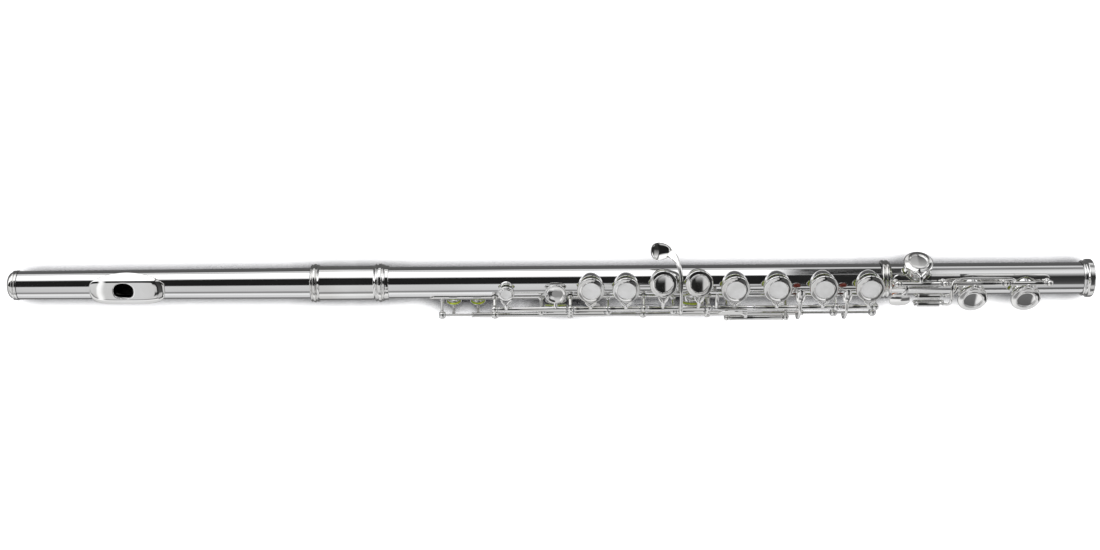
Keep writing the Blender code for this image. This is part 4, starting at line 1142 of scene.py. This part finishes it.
# At the head: strip light, black gap, grey card, a dark seam, white card. Each later table leans
# further towards the foot: first the cards break up, then the strip light ends, then a softer one
# begins. The levels are tuned until the silver looks right from above.
at_head = band_ramp([
    (-180, 0.25), (-108, 0.30), (-100, 0.95), (-80, 0.95), (-74, 0.30), (-63, 0.30), (-58, 0.66), (-18, 0.72),
    (-12, 0.015), (31, 0.015), (37, 0.95), (45, 1.5), (80, 1.5), (86, 0.45), (92, 0.60), (180, 0.60),
])
at_keys = band_ramp([
    (-180, 0.25), (-108, 0.30), (-100, 1.0), (-78, 1.0), (-74, 0.04), (-66, 0.04), (-62, 0.75), (-48, 0.75),
    (-45, 0.04), (-41, 0.04), (-38, 0.65), (-31, 0.65), (-26, 0.015), (33, 0.015), (39, 1.3), (80, 1.5), (86, 0.50),
])
at_end = band_ramp([
    (-180, 0.25), (-108, 0.30), (-100, 1.0), (-78, 1.0), (-74, 0.04), (-62, 0.10), (-58, 0.75), (-50, 0.55),
    (-46, 0.02), (33, 0.02), (40, 0.30), (44, 0.02), (80, 0.05), (92, 0.60),
])
at_foot = band_ramp([
    (-180, 0.45), (-108, 0.60), (-92, 0.20), (-74, 0.12), (-66, 0.60), (-50, 0.60), (-42, 0.10), (-22, 0.05),
    (12, 0.03), (24, 0.35), (42, 0.95), (60, 0.80), (74, 0.15), (90, 0.60),
])
bands = from_x(0.20, 0.215, from_x(0.128, 0.14, from_x(0.03, 0.05, at_head, at_keys), at_end), at_foot)

# Beyond the ends of the lights, a black card stands at the foot and a bright one at the head.
bands = from_x(-0.36, -0.44, from_x(0.42, 0.50, bands, grey(0.02)), grey(1.15))

# The cards are narrow. Beyond them, where only a view from the side looks, the head's bands return.
bands = from_x(0.54, 0.60, bands, at_head)
bands = from_x(-0.52, -0.58, bands, at_head)
path = add(tree, "ShaderNodeLightPath")
seen = add(tree, "ShaderNodeBackground", None, {"Strength": 1.0}, Color=bands)
fill = add(tree, "ShaderNodeBackground", None, {"Color": (1, 1, 1, 1), "Strength": 0.45})
mirror_rays = add(
    tree, "ShaderNodeMixShader", i0=path.outputs["Is Glossy Ray"], i1=fill.outputs[0], i2=seen.outputs[0],
)
paper = add(tree, "ShaderNodeBackground", None, {"Color": (1, 1, 1, 1), "Strength": 1.0})
final = add(
    tree, "ShaderNodeMixShader", i0=path.outputs["Is Camera Ray"], i1=mirror_rays.outputs[0], i2=paper.outputs[0],
)
add(tree, "ShaderNodeOutputWorld", Surface=final.outputs[0])

# %% Floor and soft light
low, high = CAD_BOX
floor_mesh = bpy.data.meshes.new("floor")
HALF_FLOOR = 15.0
floor_mesh.from_pydata(
    [(x * HALF_FLOOR, y * HALF_FLOOR, 0) for x, y in ((-1, -1), (1, -1), (1, 1), (-1, 1))], [], [(0, 1, 2, 3)],
)
floor = bpy.data.objects.new("floor", floor_mesh)
bpy.context.scene.collection.objects.link(floor)
floor.location = (0.335, 0, low[2] - 0.0002)
paper_floor, tree, shader, where = finish("paper_sweep", roughness=0.9)

# Painted contact shadow: an ambient occlusion node darkens the paper and its glow where something stands within 17
# mm.
near = add(tree, "ShaderNodeAmbientOcclusion", {"samples": 12}, {"Distance": 0.017})
sweep = ramp_stops(
    add(tree, "ShaderNodeValToRGB", Fac=near.outputs["AO"]),
    [(0.40, colour("#070708")), (0.52, colour("#6A6A6D")), (0.72, colour("#F4F4F5"))],
)
tree.links.new(sweep.outputs["Color"], shader.inputs["Base Color"])
tree.links.new(sweep.outputs["Color"], shader.inputs["Emission Color"])
shader.inputs["Emission Strength"].default_value = 0.6

# Painted reflection: to mirror rays only, the floor glows in bands, so the silver reflects a painted card and not the
# paper. Each band is a place across the flute in millimetres and a level.
FLOOR_REFLECTION_BANDS = [
    (-400, 0.90), (-90, 0.75), (-35, 0.70), (-30, 0.15), (-21, 0.15), (-14, 0.35), (-4, 0.50), (6, 0.30),
    (20, 0.12), (90, 0.10), (150, 0.80), (400, 0.90),
]
across = add(tree, "ShaderNodeSeparateXYZ", Vector=where)
spread = add(tree, "ShaderNodeMapRange", None, {"From Min": -0.4, "From Max": 0.4}, Value=across.outputs["Y"])
card = ramp_stops(
    add(tree, "ShaderNodeValToRGB", Fac=spread.outputs["Result"]),
    [((y + 400) / 800, grey(level)) for y, level in FLOOR_REFLECTION_BANDS],
)
glow = add(tree, "ShaderNodeEmission", None, {"Strength": 1.0}, Color=card.outputs["Color"])
path = add(tree, "ShaderNodeLightPath")
surface = add(tree, "ShaderNodeMixShader", i0=path.outputs["Is Glossy Ray"], i1=shader.outputs[0], i2=glow.outputs[0])
tree.links.new(surface.outputs[0], tree.nodes["Material Output"].inputs["Surface"])
floor_mesh.materials.append(paper_floor)

lamp = bpy.data.lights.new("overhead_softbox", "AREA")
lamp.shape, lamp.size, lamp.size_y, lamp.energy = "RECTANGLE", 2.2, 1.6, 22.0
softbox = bpy.data.objects.new("overhead_softbox", lamp)
bpy.context.scene.collection.objects.link(softbox)
softbox.location = (0.335, 0.0, 1.5)
softbox.visible_glossy = False
softbox.visible_camera = False
print("floor", 2 * HALF_FLOOR, "m wide, softbox", lamp.size, "by", lamp.size_y, "m")

# %% Camera
camera = bpy.data.objects.new("camera", bpy.data.cameras.new("camera"))
bpy.context.scene.collection.objects.link(camera)
camera.location = (0.3358, 0.0041, 1.086)
camera.rotation_euler = (0, 0, math.radians(-0.4))
camera.data.lens = 57.3
camera.data.clip_start = 0.01
bpy.context.scene.camera = camera
bpy.context.scene.view_settings.view_transform = "Standard"
